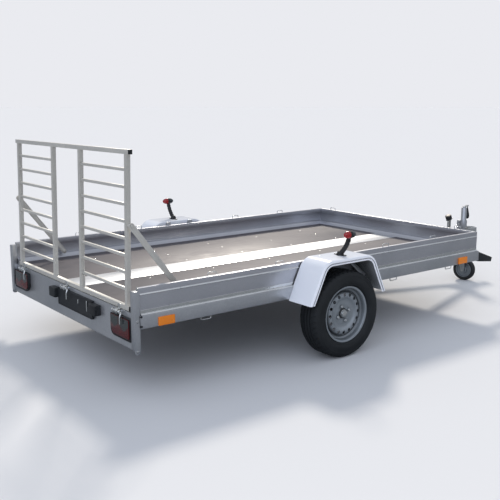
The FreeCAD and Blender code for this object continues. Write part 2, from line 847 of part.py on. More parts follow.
studs = []
stud_near = strut_face + strut_thick + strut_gap
for name, side in SIDES:
    long = panel_outer - panel_wall - stud_near
    low_y = stud_near if side > 0 else -(panel_outer - panel_wall)
    studs.append(rod("strut_stud_" + name, "y", 8, long, foot_x, low_y, strut_foot_z))
finish("strut_studs", group("strut_studs", studs))

# Axle: square tube across, with an arm and a spindle each side
axle_x = ahead(axle_ahead)
tube_top = rail_bottom - axle_seat
tube_x = axle_x + axle_lead
axle_parts = [hollow_tube("axle_tube", as_size(4), axle_tube, axle_half * 2, axle_tube,
                          tube_x - axle_tube / 2, -axle_half, tube_top - axle_tube, "y")]
drop = tube_top - axle_tube / 2 - wheel_radius
arm_long = reach(axle_lead, drop)
arm_turn = ((0, -1, 0), slope(axle_lead, drop))
for name, side in SIDES:
    low_y = axle_half if side > 0 else -axle_half - arm_thick
    seat_y = axle_half - 60 if side > 0 else -axle_half
    axle_parts.append(block("axle_seat_" + name, axle_tube * 2, 60, axle_seat, tube_x - axle_tube, seat_y, tube_top))
    bar = block("arm_bar_" + name, arm_long, arm_thick, arm_wide, 0, 0, -arm_wide / 2)
    round_ends = [rod("arm_%s_%s" % (mark, name), "y", arm_wide / 2, arm_thick, place, 0, 0)
                  for mark, place in (("low", as_size(0)), ("high", arm_long))]
    arm = fuse("arm_" + name, [bar] + round_ends)
    axle_parts.append(put(arm, axle_x, low_y, wheel_radius, arm_turn))
    spindle_start = axle_half + arm_thick
    spindle_long = wheel_side + hub_face - 10 - spindle_start
    collar_start = spindle_start if side > 0 else -spindle_start - 16
    axle_parts.append(rod("spindle_collar_" + name, "y", 26, 16, axle_x, collar_start, wheel_radius))
    axle_parts.append(rod("spindle_" + name, "y", spindle_radius, spindle_long, axle_x,
                          spindle_start if side > 0 else -spindle_start - spindle_long, wheel_radius))
finish("axle", fuse("axle", axle_parts))

# Wheels: (radius, distance outboard of the wheel's middle plane)
for name, side in SIDES:
    middle = wheel_side * side
    flange = rim_radius
    rim_rows = [
        (flange, -rim_half),
        (flange, -rim_half + 5),
        (flange - 13, -rim_half + 7),
        (flange - 13, -rim_half + 26),
        (flange - 30, -rim_half + 38),
        (flange - 30, rim_half - 42),
        (flange - 13, rim_half - 28),
        (flange - 13, rim_half - 7),
        (flange, rim_half - 5),
        (flange, rim_half),
        (flange - 17, rim_half - 3),
        (flange - 17, rim_half - 24),
        (flange - 34, rim_half - 38),
        (flange - 40, hub_face + 8),
        (flange - 70, hub_face + 20),
        (flange - 90, hub_face + 14),
        (flange - 102, hub_face + 4),
        (33, hub_face + 4),
        (33, hub_face),
        (flange - 100, hub_face),
        (flange - 87, hub_face + 10),
        (flange - 70, hub_face + 16),
        (flange - 44, hub_face + 4),
        (flange - 38, hub_face - 8),
        (flange - 34, hub_face - 14),
        (flange - 34, -rim_half + 36),
        (flange - 17, -rim_half + 23),
        (flange - 17, -rim_half + 3),
    ]
    rim_loop = [(as_size(r), as_size(v) * side) for r, v in rim_rows]
    rim = turned("rim_" + name, [rim_loop], axle_x, middle, wheel_radius)
    finish("rim_" + name, ring_of_holes(rim, "vent_" + name, vent_ring, vent_radius, 16))
    bead = rim_half - 7
    tyre_rows = [
        (flange - 13, -bead),
        (flange, -bead - 2),
        (flange + 8, -tyre_half + 9),
        (flange + 42, -tyre_half),
        (wheel_radius - 26, -tyre_half + 2),
        (wheel_radius - 9, -tyre_half + 12),
        (wheel_radius, -tyre_half + 27),
        (wheel_radius, tyre_half - 27),
        (wheel_radius - 9, tyre_half - 12),
        (wheel_radius - 26, tyre_half - 2),
        (flange + 42, tyre_half),
        (flange + 8, tyre_half - 9),
        (flange, bead + 2),
        (flange - 13, bead),
        (flange - 13, bead - 12),
        (flange + 6, bead - 8),
        (flange + 40, tyre_half - 9),
        (wheel_radius - 30, tyre_half - 12),
        (wheel_radius - 12, tyre_half - 30),
        (wheel_radius - 12, -tyre_half + 30),
        (wheel_radius - 30, -tyre_half + 12),
        (flange + 40, -tyre_half + 9),
        (flange + 6, -bead + 8),
        (flange - 13, -bead + 12),
    ]
    tyre_loop = [(as_size(r), as_size(v) * side) for r, v in tyre_rows]
    finish("tyre_" + name, turned("tyre_" + name, [tyre_loop], axle_x, middle, wheel_radius))
    bore = spindle_radius + spindle_clearance
    hub_rows = [
        (bore, -112),
        (38, -112),
        (48, -40),
        (48, 0),
        (68, 4),
        (68, hub_face),
        (32, hub_face),
        (32, hub_face + 8),
        (24, hub_face + 10),
        (22, hub_face + 24),
        (0, hub_face + 26),
        (0, hub_face + 4),
        (bore, hub_face + 4),
    ]
    hub_loop = [(as_size(r), as_size(v) * side) for r, v in hub_rows]
    hub_pieces = [turned("hub_body_" + name, [hub_loop], axle_x, middle, wheel_radius)]
    bolt_y = middle + (hub_face + 4) * side
    for number in range(4):
        turn_by = bolt_turn + 90 * number
        hub_pieces.append(hexagon("bolt_%s_%d" % (name, number + 1), bolt_head, bolt_tall,
                                  axle_x + bolt_ring * cosine(turn_by), bolt_y,
                                  wheel_radius + bolt_ring * sine(turn_by),
                                  FreeCAD.Rotation(FreeCAD.Vector(1, 0, 0), -90 * side)))
    finish("hub_" + name, group("hub_" + name, hub_pieces))

# Fenders: flat top, rounded shoulders, sloping ends; a stepped lip along the outer edge
leg_run = fender_half_low - fender_half_top
leg_rise = fender_top - fender_bottom
leg_long = reach(leg_run, leg_rise)


def fender_arch(body, name, outer, inner):
    """Rounds the shoulders of an arch between two depths below the fender's skin."""
    for mark, depth in (("outer", outer), ("inner", inner)):
        corner = fender_half_top - depth * ((leg_long - leg_run) / leg_rise)
        rounded(body, "%s_%s" % (name, mark), [(corner, fender_top - depth), (-corner, fender_top - depth)],
                fender_round - depth)
    return body


def fender_band(name, side, outer, inner, near, far):
    """A strip of the arch between two depths, from near to far across the trailer."""
    loop = []
    for depth, order in ((as_size(outer), 1), (as_size(inner), -1)):
        corner = fender_half_top - depth * ((leg_long - leg_run) / leg_rise)
        foot = fender_half_low - depth * (leg_long / leg_rise)
        row = [(-foot, fender_bottom), (-corner, fender_top - depth), (corner, fender_top - depth),
               (foot, fender_bottom)]
        loop += row[::order]
    band = slab(name, "y", [loop], far - near, axle_x, (near + far) / 2 * side, 0, both=True)
    return fender_arch(band, name, as_size(outer), as_size(inner))


lip_face = fender_outer - fender_step - fender_wall
edge_low = fender_wall + 2
bead_top = fender_lip - fender_bead
for name, side in SIDES:
    finish("fender_" + name, fuse("fender_" + name, [
        fender_band("fender_skin_" + name, side, 0, fender_wall, fender_inner, lip_face),
        fender_band("fender_edge_" + name, side, 0, edge_low, lip_face, fender_outer),
        fender_band("fender_web_" + name, side, edge_low, bead_top, lip_face, lip_face + fender_wall),
        fender_band("fender_bead_" + name, side, bead_top, fender_lip, lip_face, fender_outer),
    ]))

brackets = []
bracket_low = panel_top - rim_height
for name, side in SIDES:
    for mark, offset in (("rear", -bracket_rear), ("front", bracket_front)):
        leg = block("bracket_leg_%s_%s" % (name, mark), bracket_wide, bracket_thick,
                    fender_top - fender_wall - bracket_low, axle_x + offset,
                    low_end(side, panel_outer, panel_outer + bracket_thick), bracket_low)
        shelf = block("bracket_shelf_%s_%s" % (name, mark), bracket_wide, bracket_reach, bracket_thick,
                      axle_x + offset, low_end(side, panel_outer, panel_outer + bracket_reach),
                      fender_top - fender_wall - bracket_thick)
        brackets.append(fuse("bracket_%s_%s" % (name, mark), [leg, shelf]))
finish("fender_brackets", group("fender_brackets", brackets))

# Marker lamps: a foot, a round base and a bent rubber arm that carries the lamp
arms = []
markers = []
flange_x = axle_x + marker_ahead
flange_y = (fender_inner + fender_outer) / 2 - marker_inset
arm_out = marker_bend * (1 - cosine(marker_sweep))
arm_rise = marker_rise + marker_bend * sine(marker_sweep)
lamp_x = flange_x + arm_out * sine(marker_skew)
lamp_z = fender_top + arm_rise + marker_lens
for name, side in SIDES:
    lamp_y = (flange_y + arm_out * cosine(marker_skew)) * side
    base = cone("marker_base_" + name, marker_arm + 7, marker_arm + 1, marker_base, 0, 0, 0)
    elbow = bent("marker_elbow_" + name, marker_bend, marker_arm, marker_sweep, arm_out - marker_bend, 0, arm_rise,
                 FreeCAD.Rotation(FreeCAD.Vector(1, 0, 0), -90))
    neck = rod("marker_neck_" + name, "z", marker_arm, marker_lens, arm_out, 0, arm_rise)
    stalk = put(fuse("marker_stalk_" + name, [base, elbow, neck]), flange_x, flange_y * side, fender_top,
                ((0, 0, side), 90 - marker_skew))
    foot = block("marker_flange_" + name, marker_arm * 3, marker_flange, flange_thick,
                 flange_x - marker_arm * 1.5, flange_y * side - marker_flange / 2, fender_top)
    seat = rod("marker_seat_" + name, "x", marker_lens, marker_length * 2, lamp_x - marker_length, lamp_y, lamp_z)
    low = block("marker_low_" + name, marker_flange * 2, marker_flange * 2, marker_flange,
                flange_x - marker_flange, flange_y * side - marker_flange, fender_top - marker_flange)
    arms.append(cut("marker_arm_" + name, fuse("marker_solid_" + name, [foot, stalk]),
                    fuse("marker_clear_" + name, [seat, low])))
    markers.append(rod("marker_lamp_" + name, "x", marker_lens, marker_length, lamp_x - marker_length / 2,
                       lamp_y, lamp_z))
finish("marker_arms", group("marker_arms", arms))
finish("marker_lamps", group("marker_lamps", markers))


# Reflectors and end caps on the lower rails
reflectors = []
rail_caps = []
reflector_places = (("rear", rail_start + reflector_rear), ("front", rail_end - reflector_front))
for name, side in SIDES:
    for mark, place in reflector_places:
        reflectors.append(block("reflector_%s_%s" % (name, mark), reflector_long, reflector_thick, reflector_tall,
                                ahead(place), low_end(side, rail_outer, rail_outer + reflector_thick),
                                rail_bottom + 2))
    rail_caps.append(slab("rail_cap_" + name, "y", [[
        (rail_end, rail_bottom - rail_wall * 3),
        (rail_end + cap_long, rail_bottom - cap_low),
        (rail_end + cap_long + 12, rail_bottom - cap_low + cap_nose),
        (rail_end, rail_top - rail_wall * 2),
    ]], rail_width - rail_wall * 2, gate_plane, (rail_outer - rail_width / 2) * side, 0, both=True))
finish("side_reflectors", group("side_reflectors", reflectors))
finish("rail_caps", group("rail_caps", rail_caps))


# Lashing loops on the top rims and rope hooks under the rails: round bar bent to a U
def staple(name, half, tall, wire, bend, x, y, z, turn=None):
    """A U of round bar swept along its path, standing up from its place, the bar along X."""
    path = doc.addObject("Sketcher::SketchObject", name + "_path")
    corners = [(-half, as_size(0)), (-half, tall - bend), (-half + bend, tall),
               (half - bend, tall), (half, tall - bend), (half, as_size(0))]
    spots = [FreeCAD.Vector(u.value, v.value, 0) for u, v in corners]
    path.addGeometry([Part.LineSegment(a, b) for a, b in zip(spots, spots[1:])], False)
    for number in range(len(spots) - 2):
        path.addConstraint(Sketcher.Constraint("Coincident", number, 2, number + 1, 1))
    ends = [(number, 1) for number in range(len(spots) - 1)] + [(len(spots) - 2, 2)]
    for (number, end), (u, v) in zip(ends, corners):
        for kind, size in (("DistanceX", u), ("DistanceY", v)):
            index = path.addConstraint(Sketcher.Constraint(kind, number, end, size.value))
            if "Sizes." in size.text:
                path.setExpression("Constraints[%d]" % index, size.text)
    ring = doc.addObject("Part::Circle", name + "_ring")
    ring.Radius = wire.value
    ring.setExpression("Radius", wire.text)
    put(path, 0, 0, 0, FreeCAD.Rotation(FreeCAD.Vector(1, 0, 0), 90))
    put(ring, -half, 0, 0)
    bar = doc.addObject("Part::Sweep", name)
    bar.Sections = [ring]
    bar.Spine = (path, ["Edge%d" % (number + 1) for number in range(len(spots) - 1)])
    bar.Solid = True
    bar.Transition = "Right corner"
    return put(bar, x, y, z, turn)


loop_places = (rail_start + loop_rear, rail_start + loop_rear + loop_pitch,
               panel_front - loop_front - loop_pitch, panel_front - loop_front)
hook_places = (rail_start + hook_rear, rail_start + hook_middle, rail_start + hook_middle + hook_pitch)
hooks = []
for name, side in SIDES:
    rim_y = (panel_outer - rim_width / 2) * side
    loops = []
    for number, place in enumerate(loop_places):
        loops.append(staple("loop_%s_%d" % (name, number + 1), loop_half, loop_tall, loop_wire, loop_bend,
                            ahead(place), rim_y, panel_top))
    finish("lashing_loops_" + name, group("lashing_loops_" + name, loops))
    for number, place in enumerate(hook_places):
        hooks.append(staple("hook_%s_%d" % (name, number + 1), hook_half, hook_deep, hook_wire, loop_bend,
                            ahead(place), (rail_outer - hook_wire * 2) * side, rail_bottom,
                            ((1, 0, 0), 180)))
finish("rope_hooks", group("rope_hooks", hooks))
front_loops = []
for name, side in SIDES:
    front_loops.append(staple("loop_front_" + name, loop_half, loop_tall, loop_wire, loop_bend,
                              ahead(panel_front - rim_width / 2), (panel_outer - loop_inset) * side, panel_top,
                              ((0, 0, 1), 90)))
finish("lashing_loops_front", group("lashing_loops_front", front_loops))

# Drawbar: two beams meeting at a plate under the coupling
ball_ahead = overall_length - tail_behind - head_radius
draw_root_x = axle_ahead + cross_ahead + cross_pitch * 2
draw_tip_x = ball_ahead - tip_back
draw_run = draw_tip_x - draw_root_x
draw_in = draw_root_y - draw_tip_y
draw_long = reach(draw_run, draw_in)
draw_angle = slope(draw_run, draw_in)
beams = []
for name, side in SIDES:
    outer = block("draw_outer_" + name, draw_long, draw_wide, draw_tall, 0, -draw_wide / 2, 0)
    inner = block("draw_inner_" + name, draw_long, draw_wide - draw_wall * 2, draw_tall - draw_wall * 2,
                  0, -draw_wide / 2 + draw_wall, draw_wall)
    tube = cut("draw_tube_" + name, outer, inner)
    beams.append(put(tube, ahead(draw_root_x), draw_root_y * side, rail_bottom - draw_tall,
                     ((0, 0, -side), draw_angle)))
gusset = slab("draw_gusset", "z", [[
    (-270, -125),
    (25, -48),
    (25, 48),
    (-270, 125),
]], gusset_thick, ahead(draw_tip_x), 0, rail_bottom)
finish("drawbar", fuse("drawbar", beams + [gusset]))

# Coupling: a shank on the gusset, a head over the ball socket and the folded handle
ball_x = ahead(ball_ahead)
gusset_top = rail_bottom + gusset_thick
head_top = ball_height + 27
shank = block("coupling_shank", 164, 60, head_top - gusset_top, ball_x - 230, -30, gusset_top)
neck = slab("coupling_neck", "z", [[
    (-72, -30),
    (0, -head_radius),
    (0, head_radius),
    (-72, 30),
]], head_top - gusset_top, ball_x, 0, gusset_top)
dome = rod("coupling_dome", "z", head_radius, 50, ball_x, 0, head_top - 50)
socket = doc.addObject("Part::Sphere", "coupling_socket")
socket.Radius = (ball_radius + 0.5).value
socket.setExpression("Radius", (ball_radius + 0.5).text)
put(socket, ball_x, 0, ball_height)
mouth = rod("coupling_mouth", "z", ball_radius + 0.5, 60, ball_x, 0, ball_height - 60)
finish("coupling_head", cut("coupling_head", fuse("coupling_solid", [shank, neck, dome]),
                            fuse("coupling_space", [socket, mouth])))
handle_loop = [
    (22, head_top),
    (22, head_top + 6),
    (-142, head_top + 27),
    (-142, head_top + 15),
    (-60, head_top),
]
finish("coupling_handle", slab("coupling_handle", "y", [handle_loop], 34, ball_x, 0, 0, both=True))

# Holder for the lead's plug: a bent strip from the gusset and a round cap leaning rearwards
holder_x = ball_x - holder_back
across_x = holder_radius * cosine(holder_tilt)
across_z = holder_radius * sine(holder_tilt)
under_x = holder_sheet * sine(holder_tilt)
under_z = holder_sheet * cosine(holder_tilt)
holder_loop = [
    (-holder_sheet / 2, gusset_top),
    (holder_sheet / 2, gusset_top),
    (holder_sheet / 2, holder_low - holder_sheet),
    (across_x + under_x, holder_low + across_z - under_z),
    (across_x, holder_low + across_z),
    (-across_x, holder_low - across_z),
    (-across_x + under_x, holder_low - across_z - under_z),
    (-holder_sheet / 2, holder_low - holder_sheet * 1.5),
]
finish("plug_bracket", slab("plug_bracket", "y", [holder_loop], 40, holder_x, 0, 0, both=True))
finish("plug_holder", rod("plug_holder", "z", holder_radius, holder_long, holder_x, 0, holder_low,
                          ((0, -1, 0), holder_tilt)))

# Jockey wheel: clamp with its outer tube, sliding leg, swivelling fork, wheel and crank
jockey_x = ball_x - jockey_back
draw_side = draw_root_y - (ball_ahead - jockey_back - draw_root_x) * (draw_in / draw_run)
jockey_y = -(draw_side + draw_wide / 2 / cosine(draw_angle) + jockey_stand)
bore_radius = jockey_tube - 2.5
tube_outer = rod("jockey_tube_outer", "z", jockey_tube, jockey_top - jockey_low, jockey_x, jockey_y, jockey_low)
tube_bore = rod("jockey_tube_bore", "z", bore_radius, jockey_top - jockey_low - 4, jockey_x, jockey_y, jockey_low)
clamp_low = rail_bottom - 52
clamp_plate = block("jockey_clamp_plate", 56, 30, 206, jockey_x - 28, jockey_y + jockey_tube - 4, clamp_low)
clamp_ring = rod("jockey_clamp_ring", "z", jockey_tube + 7, 60, jockey_x, jockey_y, rail_bottom + 94)
clamp_foot = rod("jockey_clamp_foot", "z", jockey_tube + 5, 30, jockey_x, jockey_y, clamp_low)
clamp_beam = block("jockey_clamp_beam", draw_long, draw_wide, draw_tall, 0, -draw_wide / 2, 0)
clamp_side = group("jockey_clamp_side", [clamp_beam])
put(clamp_side, ahead(draw_root_x), -draw_root_y, rail_bottom - draw_tall, ((0, 0, 1), draw_angle))
clamp_over = block("jockey_clamp_over", 90, 60, gusset_thick, jockey_x - 45, jockey_y + jockey_tube + 10, rail_bottom)
lever_bolt = rod("clamp_lever_bolt", "x", 6, 26, 0, 0, 0)
lever_bar = rod("clamp_lever_bar", "y", 5, lever_long, 0, -lever_long / 2, 0)
lever = put(fuse("clamp_lever", [lever_bolt, lever_bar]), jockey_x - jockey_tube - 18, jockey_y + 12,
            rail_bottom + 146, ((-1, 0, 0), lever_turn))
clamp_solid = fuse("jockey_clamp_solid", [tube_outer, clamp_plate, clamp_ring, clamp_foot, lever])
clamp_clear = fuse("jockey_clamp_clear", [tube_bore, clamp_side, clamp_over])
finish("jockey_clamp", cut("jockey_clamp", clamp_solid, clamp_clear))

leg_radius = bore_radius - 1
leg_low = jockey_radius * 2 + leg_clear
leg_tube = rod("jockey_leg_tube", "z", leg_radius, leg_top - leg_low, jockey_x, jockey_y, leg_low)
leg_bore = rod("jockey_leg_bore", "z", swivel_radius + 0.1, 42, jockey_x, jockey_y, leg_low)
finish("jockey_leg", cut("jockey_leg", leg_tube, leg_bore))

fork_turn = ((0, 0, 1), jockey_turn)
plate_low = leg_low - 10
fork_plate = block("fork_plate", jockey_trail + 46, 92, 8, -jockey_trail - 22, -46, plate_low)
fork_neck = rod("fork_neck", "z", 16, 9.5, 0, 0, plate_low)
fork_pin = rod("fork_pin", "z", swivel_radius, 48, 0, 0, plate_low)
fork_cheeks = []
for mark, low_y in (("a", 40), ("b", -46)):
    fork_cheeks.append(slab("fork_cheek_" + mark, "y", [[
        (-jockey_trail - 13, jockey_radius - 14),
        (-jockey_trail + 13, jockey_radius - 14),
        (24, plate_low + 4),
        (-jockey_trail - 22, plate_low + 4),
    ]], 6, 0, low_y + 3, 0, both=True))
fork_axle = rod("fork_axle", "y", 8, 96, -jockey_trail, -48, jockey_radius)
fork = fuse("jockey_fork", [fork_plate, fork_neck, fork_pin, fork_axle] + fork_cheeks)
finish("jockey_fork", put(fork, jockey_x, jockey_y, 0, fork_turn))

small = jockey_radius
small_rim = [(8.5, -30), (30, -30), (34, -12), (small - 38, -12), (small - 36, -22), (small - 30, -22),
             (small - 30, 22), (small - 36, 22), (small - 38, 12), (34, 12), (30, 30), (8.5, 30)]
small_tyre = [(small - 30, -22), (small - 16, -27), (small - 5, -22), (small, -10), (small, 10), (small - 5, 22),
              (small - 16, 27), (small - 30, 22)]
small_x = jockey_x - jockey_trail * cosine(jockey_turn)
small_y = jockey_y - jockey_trail * sine(jockey_turn)
for name, rows in (("jockey_rim", small_rim), ("jockey_tyre", small_tyre)):
    finish(name, turned(name, [rows], small_x, small_y, jockey_radius, fork_turn))

crank_long = reach(crank_run, crank_side)
crank_cap = rod("crank_cap", "z", 14, 12, 0, 0, 0)
crank_arm = block("crank_arm", crank_long, 22, 6, 0, -11, 4)
crank_pin = rod("crank_pin", "z", 6, 20, crank_long, 0, -10)
crank = fuse("jockey_crank", [crank_cap, crank_arm, crank_pin])
finish("jockey_crank", put(crank, jockey_x, jockey_y, jockey_top, ((0, 0, 1), slope(crank_run, crank_side))))
finish("jockey_grip", cone("jockey_grip", 14, 8, 107, jockey_x + crank_run, jockey_y + crank_side,
                           jockey_top - 117))

# Check every object, then write one file for each piece
doc.recompute()
bad = [o.Name for o in doc.Objects if "Invalid" in o.State or "Error" in o.State]
if bad:
    raise SystemExit("objects in error: " + ", ".join(bad))
for name, thing in nodes.items():
    shape = thing.Shape
    if shape.isNull() or not shape.isValid():
        raise SystemExit("bad shape: " + name)
    shape.exportStep("parts/%s.step" % name)
    box = shape.BoundBox
    print("%-18s solids %2d  x %8.1f %8.1f  y %8.1f %8.1f  z %7.1f %7.1f" % (
        name, len(shape.Solids), box.XMin, box.XMax, box.YMin, box.YMax, box.ZMin, box.ZMax))
print(len(nodes), "pieces")
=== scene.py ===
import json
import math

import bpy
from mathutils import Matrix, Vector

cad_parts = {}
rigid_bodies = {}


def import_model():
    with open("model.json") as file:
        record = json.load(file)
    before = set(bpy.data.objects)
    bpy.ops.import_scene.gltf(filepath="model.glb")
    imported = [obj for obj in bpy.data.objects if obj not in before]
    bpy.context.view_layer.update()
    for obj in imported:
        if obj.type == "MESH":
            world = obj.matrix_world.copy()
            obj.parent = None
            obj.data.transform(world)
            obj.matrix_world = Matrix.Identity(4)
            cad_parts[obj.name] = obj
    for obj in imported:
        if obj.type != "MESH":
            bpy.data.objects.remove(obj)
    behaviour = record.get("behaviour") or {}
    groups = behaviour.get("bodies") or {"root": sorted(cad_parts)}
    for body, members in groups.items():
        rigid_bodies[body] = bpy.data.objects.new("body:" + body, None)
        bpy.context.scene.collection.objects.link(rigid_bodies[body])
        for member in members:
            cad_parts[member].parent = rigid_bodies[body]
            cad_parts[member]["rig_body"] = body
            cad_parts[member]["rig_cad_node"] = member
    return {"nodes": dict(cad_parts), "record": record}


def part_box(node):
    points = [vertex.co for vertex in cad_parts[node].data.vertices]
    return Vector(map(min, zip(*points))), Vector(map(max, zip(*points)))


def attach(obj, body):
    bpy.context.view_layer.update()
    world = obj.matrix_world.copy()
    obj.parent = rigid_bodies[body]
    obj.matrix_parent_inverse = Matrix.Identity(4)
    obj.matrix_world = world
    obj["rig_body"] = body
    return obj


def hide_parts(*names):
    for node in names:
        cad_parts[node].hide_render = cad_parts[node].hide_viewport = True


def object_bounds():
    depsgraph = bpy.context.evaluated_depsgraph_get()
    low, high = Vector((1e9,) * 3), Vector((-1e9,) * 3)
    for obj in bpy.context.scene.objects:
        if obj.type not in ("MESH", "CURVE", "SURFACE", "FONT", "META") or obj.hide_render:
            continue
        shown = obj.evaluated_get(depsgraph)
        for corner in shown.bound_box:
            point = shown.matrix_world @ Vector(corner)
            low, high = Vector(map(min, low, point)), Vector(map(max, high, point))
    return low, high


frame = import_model()

# %% [markdown]
# # A utility trailer, dressed
# The solids of the trailer come from the CAD model and already stand in the right place.
# This lesson gives them their finishes, and models what plain solids can't show: tread,
# pressed wheel discs, rounded fenders, rubber arms, lamps and small fittings.
# Everything is in metres, with X towards the coupling, Y to the trailer's left and Z up.

MM = 0.001
cad_low, cad_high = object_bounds()
NODES = frame["nodes"]
SLOT_OF = {row["node"]: row["material_slot"] for row in frame["record"]["subparts"]}
BODY_OF = {node: body for body, nodes in frame["record"]["behaviour"]["bodies"].items() for node in nodes}
SIDES = (("left", 1), ("right", -1))
print("CAD box", [round(v, 3) for v in cad_low], [round(v, 3) for v in cad_high])

# %% [markdown]
# ## Colours and nodes
# Colours are written as the hex values that a paint chart gives. The renderer works in
# linear light, so one function turns them. A second one adds a shader node with its
# settings and links, which keeps every material below short enough to read at a glance.


# %% Colour and node helpers
def tint(code):
    """A hex colour as the renderer's linear red, green, blue and alpha."""
    parts = [int(code[i:i + 2], 16) / 255 for i in (1, 3, 5)]
    linear = [p / 12.92 if p <= 0.04045 else ((p + 0.055) / 1.055) ** 2.4 for p in parts]
    return (*linear, 1.0)


def set_sockets(tree, node, values):
    """Sets a node's sockets, each to a plain value or to another node's output."""
    for socket, value in values.items():
        if isinstance(value, bpy.types.NodeSocket):
            tree.links.new(value, node.inputs[socket])
        else:
            node.inputs[socket].default_value = value


def add_node(tree, kind, inputs=None, **settings):
    """Adds a node with its settings, and sets its sockets."""
    node = tree.nodes.new(kind)
    for name, value in settings.items():
        setattr(node, name, value)
    set_sockets(tree, node, inputs or {})
    return node


def new_material(name):
    """An empty material with a Principled shader; gives back the material, its tree and the shader."""
    material = bpy.data.materials.new(name)
    material.use_nodes = True
    tree = material.node_tree
    tree.nodes.clear()
    shader = add_node(tree, "ShaderNodeBsdfPrincipled")
    add_node(tree, "ShaderNodeOutputMaterial", {"Surface": shader.outputs["BSDF"]})
    return material, tree, shader


def place_on(tree, stretch=(1.0, 1.0, 1.0)):
    """Object coordinates in metres, stretched where a pattern is longer one way."""
    where = add_node(tree, "ShaderNodeTexCoord").outputs["Object"]
    return add_node(tree, "ShaderNodeMapping", {"Vector": where, "Scale": stretch}).outputs[0]


def blended(tree, share, low, high):
    """A colour between two hex colours by a share from 0 to 1."""
    ends = {0: share, 6: tint(low), 7: tint(high)}
    return add_node(tree, "ShaderNodeMix", ends, data_type="RGBA").outputs[2]


def ranged(tree, share, low, high, start=0.0, end=1.0):
    """A number that runs from low to high as the share goes from start to end."""
    wanted = {"Value": share, "From Min": start, "From Max": end, "To Min": low, "To Max": high}
    return add_node(tree, "ShaderNodeMapRange", wanted).outputs[0]


# %% [markdown]
# ## Zinc
# The rails are hot-dip galvanised: molten zinc freezes on the steel in flat crystals, the
# spangle, each with a slightly different grey and gloss. A Voronoi pattern gives each
# crystal its own value. The panels are rolled zinc-coated sheet, whose crystals are smaller
# and pressed smooth, the gate's zinc is paler, and small fittings are plated and bright.


# %% Zinc finishes
def zinc(name, dull, bright, spangle, smooth, rough, dent, metal=1.0):
    """Zinc coating; spangle is the crystal's width in metres, smooth and rough the gloss range."""
    material, tree, shader = new_material(name)
    where = place_on(tree)
    crystals = add_node(tree, "ShaderNodeTexVoronoi", {"Vector": where, "Scale": 1 / spangle})
    grey = add_node(tree, "ShaderNodeSeparateColor", {"Color": crystals.outputs["Color"]}).outputs[0]
    weather = add_node(tree, "ShaderNodeTexNoise", {"Vector": where, "Scale": 3.0, "Detail": 6.0}).outputs[0]
    share = add_node(tree, "ShaderNodeMath", {0: ranged(tree, grey, 0.75, 1.0), 1: weather},
                     operation="MULTIPLY").outputs[0]
    uneven = add_node(tree, "ShaderNodeTexNoise", {"Vector": where, "Scale": 60.0, "Detail": 3.0}).outputs[0]
    bump = add_node(tree, "ShaderNodeBump", {"Height": uneven, "Strength": dent, "Distance": 0.6 * MM})
    set_sockets(tree, shader, {
        "Base Color": blended(tree, ranged(tree, share, 0, 1, 0.2, 0.65), dull, bright),
        "Metallic": metal,
        "Roughness": ranged(tree, share, smooth, rough, 0.6, 0.2),
        "Normal": bump.outputs[0],
    })
    return material


hot_dip_zinc = zinc("hot_dip_zinc", "#B2B5B9", "#C9CBCE", 9 * MM, 0.32, 0.44, 0.12, 0.8)
rolled_zinc_sheet = zinc("rolled_zinc_sheet", "#B8BABF", "#C9CACF", 5 * MM, 0.30, 0.38, 0.04, 0.8)
gate_zinc = zinc("gate_zinc", "#C4C2BC", "#DAD8D0", 9 * MM, 0.36, 0.48, 0.10, 0.45)
# Bright plated zinc for small fittings; the panel hems and feet wear it too, where its paler colour is a
# painted highlight along the folds.
bright_plated_zinc_and_hem_highlight = zinc("bright_plated_zinc_and_hem_highlight", "#D2D4D4", "#ECEDEB", 30 * MM, 0.18, 0.34, 0.1)
print("zinc finishes made")

# %% [markdown]
# ## Floor
# The boards are film-faced plywood: a brown phenolic film pressed on birch veneer with a
# fine wire mesh, which leaves a grid of small dimples. The real mesh is about 3 mm, too
# fine for this view, so it is drawn at 4 mm and as bump only. Wear shows as dusty patches.


# %% Floor finishes
DIMPLE = 4 * MM
film_ply, tree, shader = new_material("film_faced_plywood")
where = place_on(tree)
dust = add_node(tree, "ShaderNodeTexNoise", {
    "Vector": where, "Scale": 2.2, "Detail": 9.0, "Roughness": 0.62}).outputs[0]
scuffs = add_node(tree, "ShaderNodeTexNoise", {
    "Vector": place_on(tree, (3.0, 40.0, 3.0)), "Scale": 3.0, "Detail": 5.0}).outputs[0]
worn = add_node(tree, "ShaderNodeMath", {0: dust, 1: scuffs}, operation="MULTIPLY").outputs[0]
mesh_print = add_node(tree, "ShaderNodeTexVoronoi", {
    "Vector": where, "Scale": 1 / DIMPLE, "Randomness": 0.0}).outputs["Distance"]
mesh_bump = add_node(tree, "ShaderNodeBump", {"Height": mesh_print, "Strength": 0.3, "Distance": 0.3 * MM})
set_sockets(tree, shader, {
    "Base Color": blended(tree, ranged(tree, worn, 0, 1, 0.14, 0.42), "#3D393E", "#5E585E"),
    "Roughness": ranged(tree, worn, 0.40, 0.66, 0.12, 0.4),
    "IOR": 1.52,
    "Normal": mesh_bump.outputs[0],
})

bright_strip, tree, shader = new_material("plain_aluminium_sheet")
where = place_on(tree, (2.0, 120.0, 1.0))
rolling = add_node(tree, "ShaderNodeTexNoise", {"Vector": where, "Scale": 2.0, "Detail": 4.0}).outputs[0]
set_sockets(tree, shader, {
    "Base Color": blended(tree, rolling, "#D2D4D6", "#EDEEEF"),
    "Metallic": 1.0,
    "Roughness": ranged(tree, rolling, 0.28, 0.5, 0.3, 0.7),
})
print("floor finishes made")
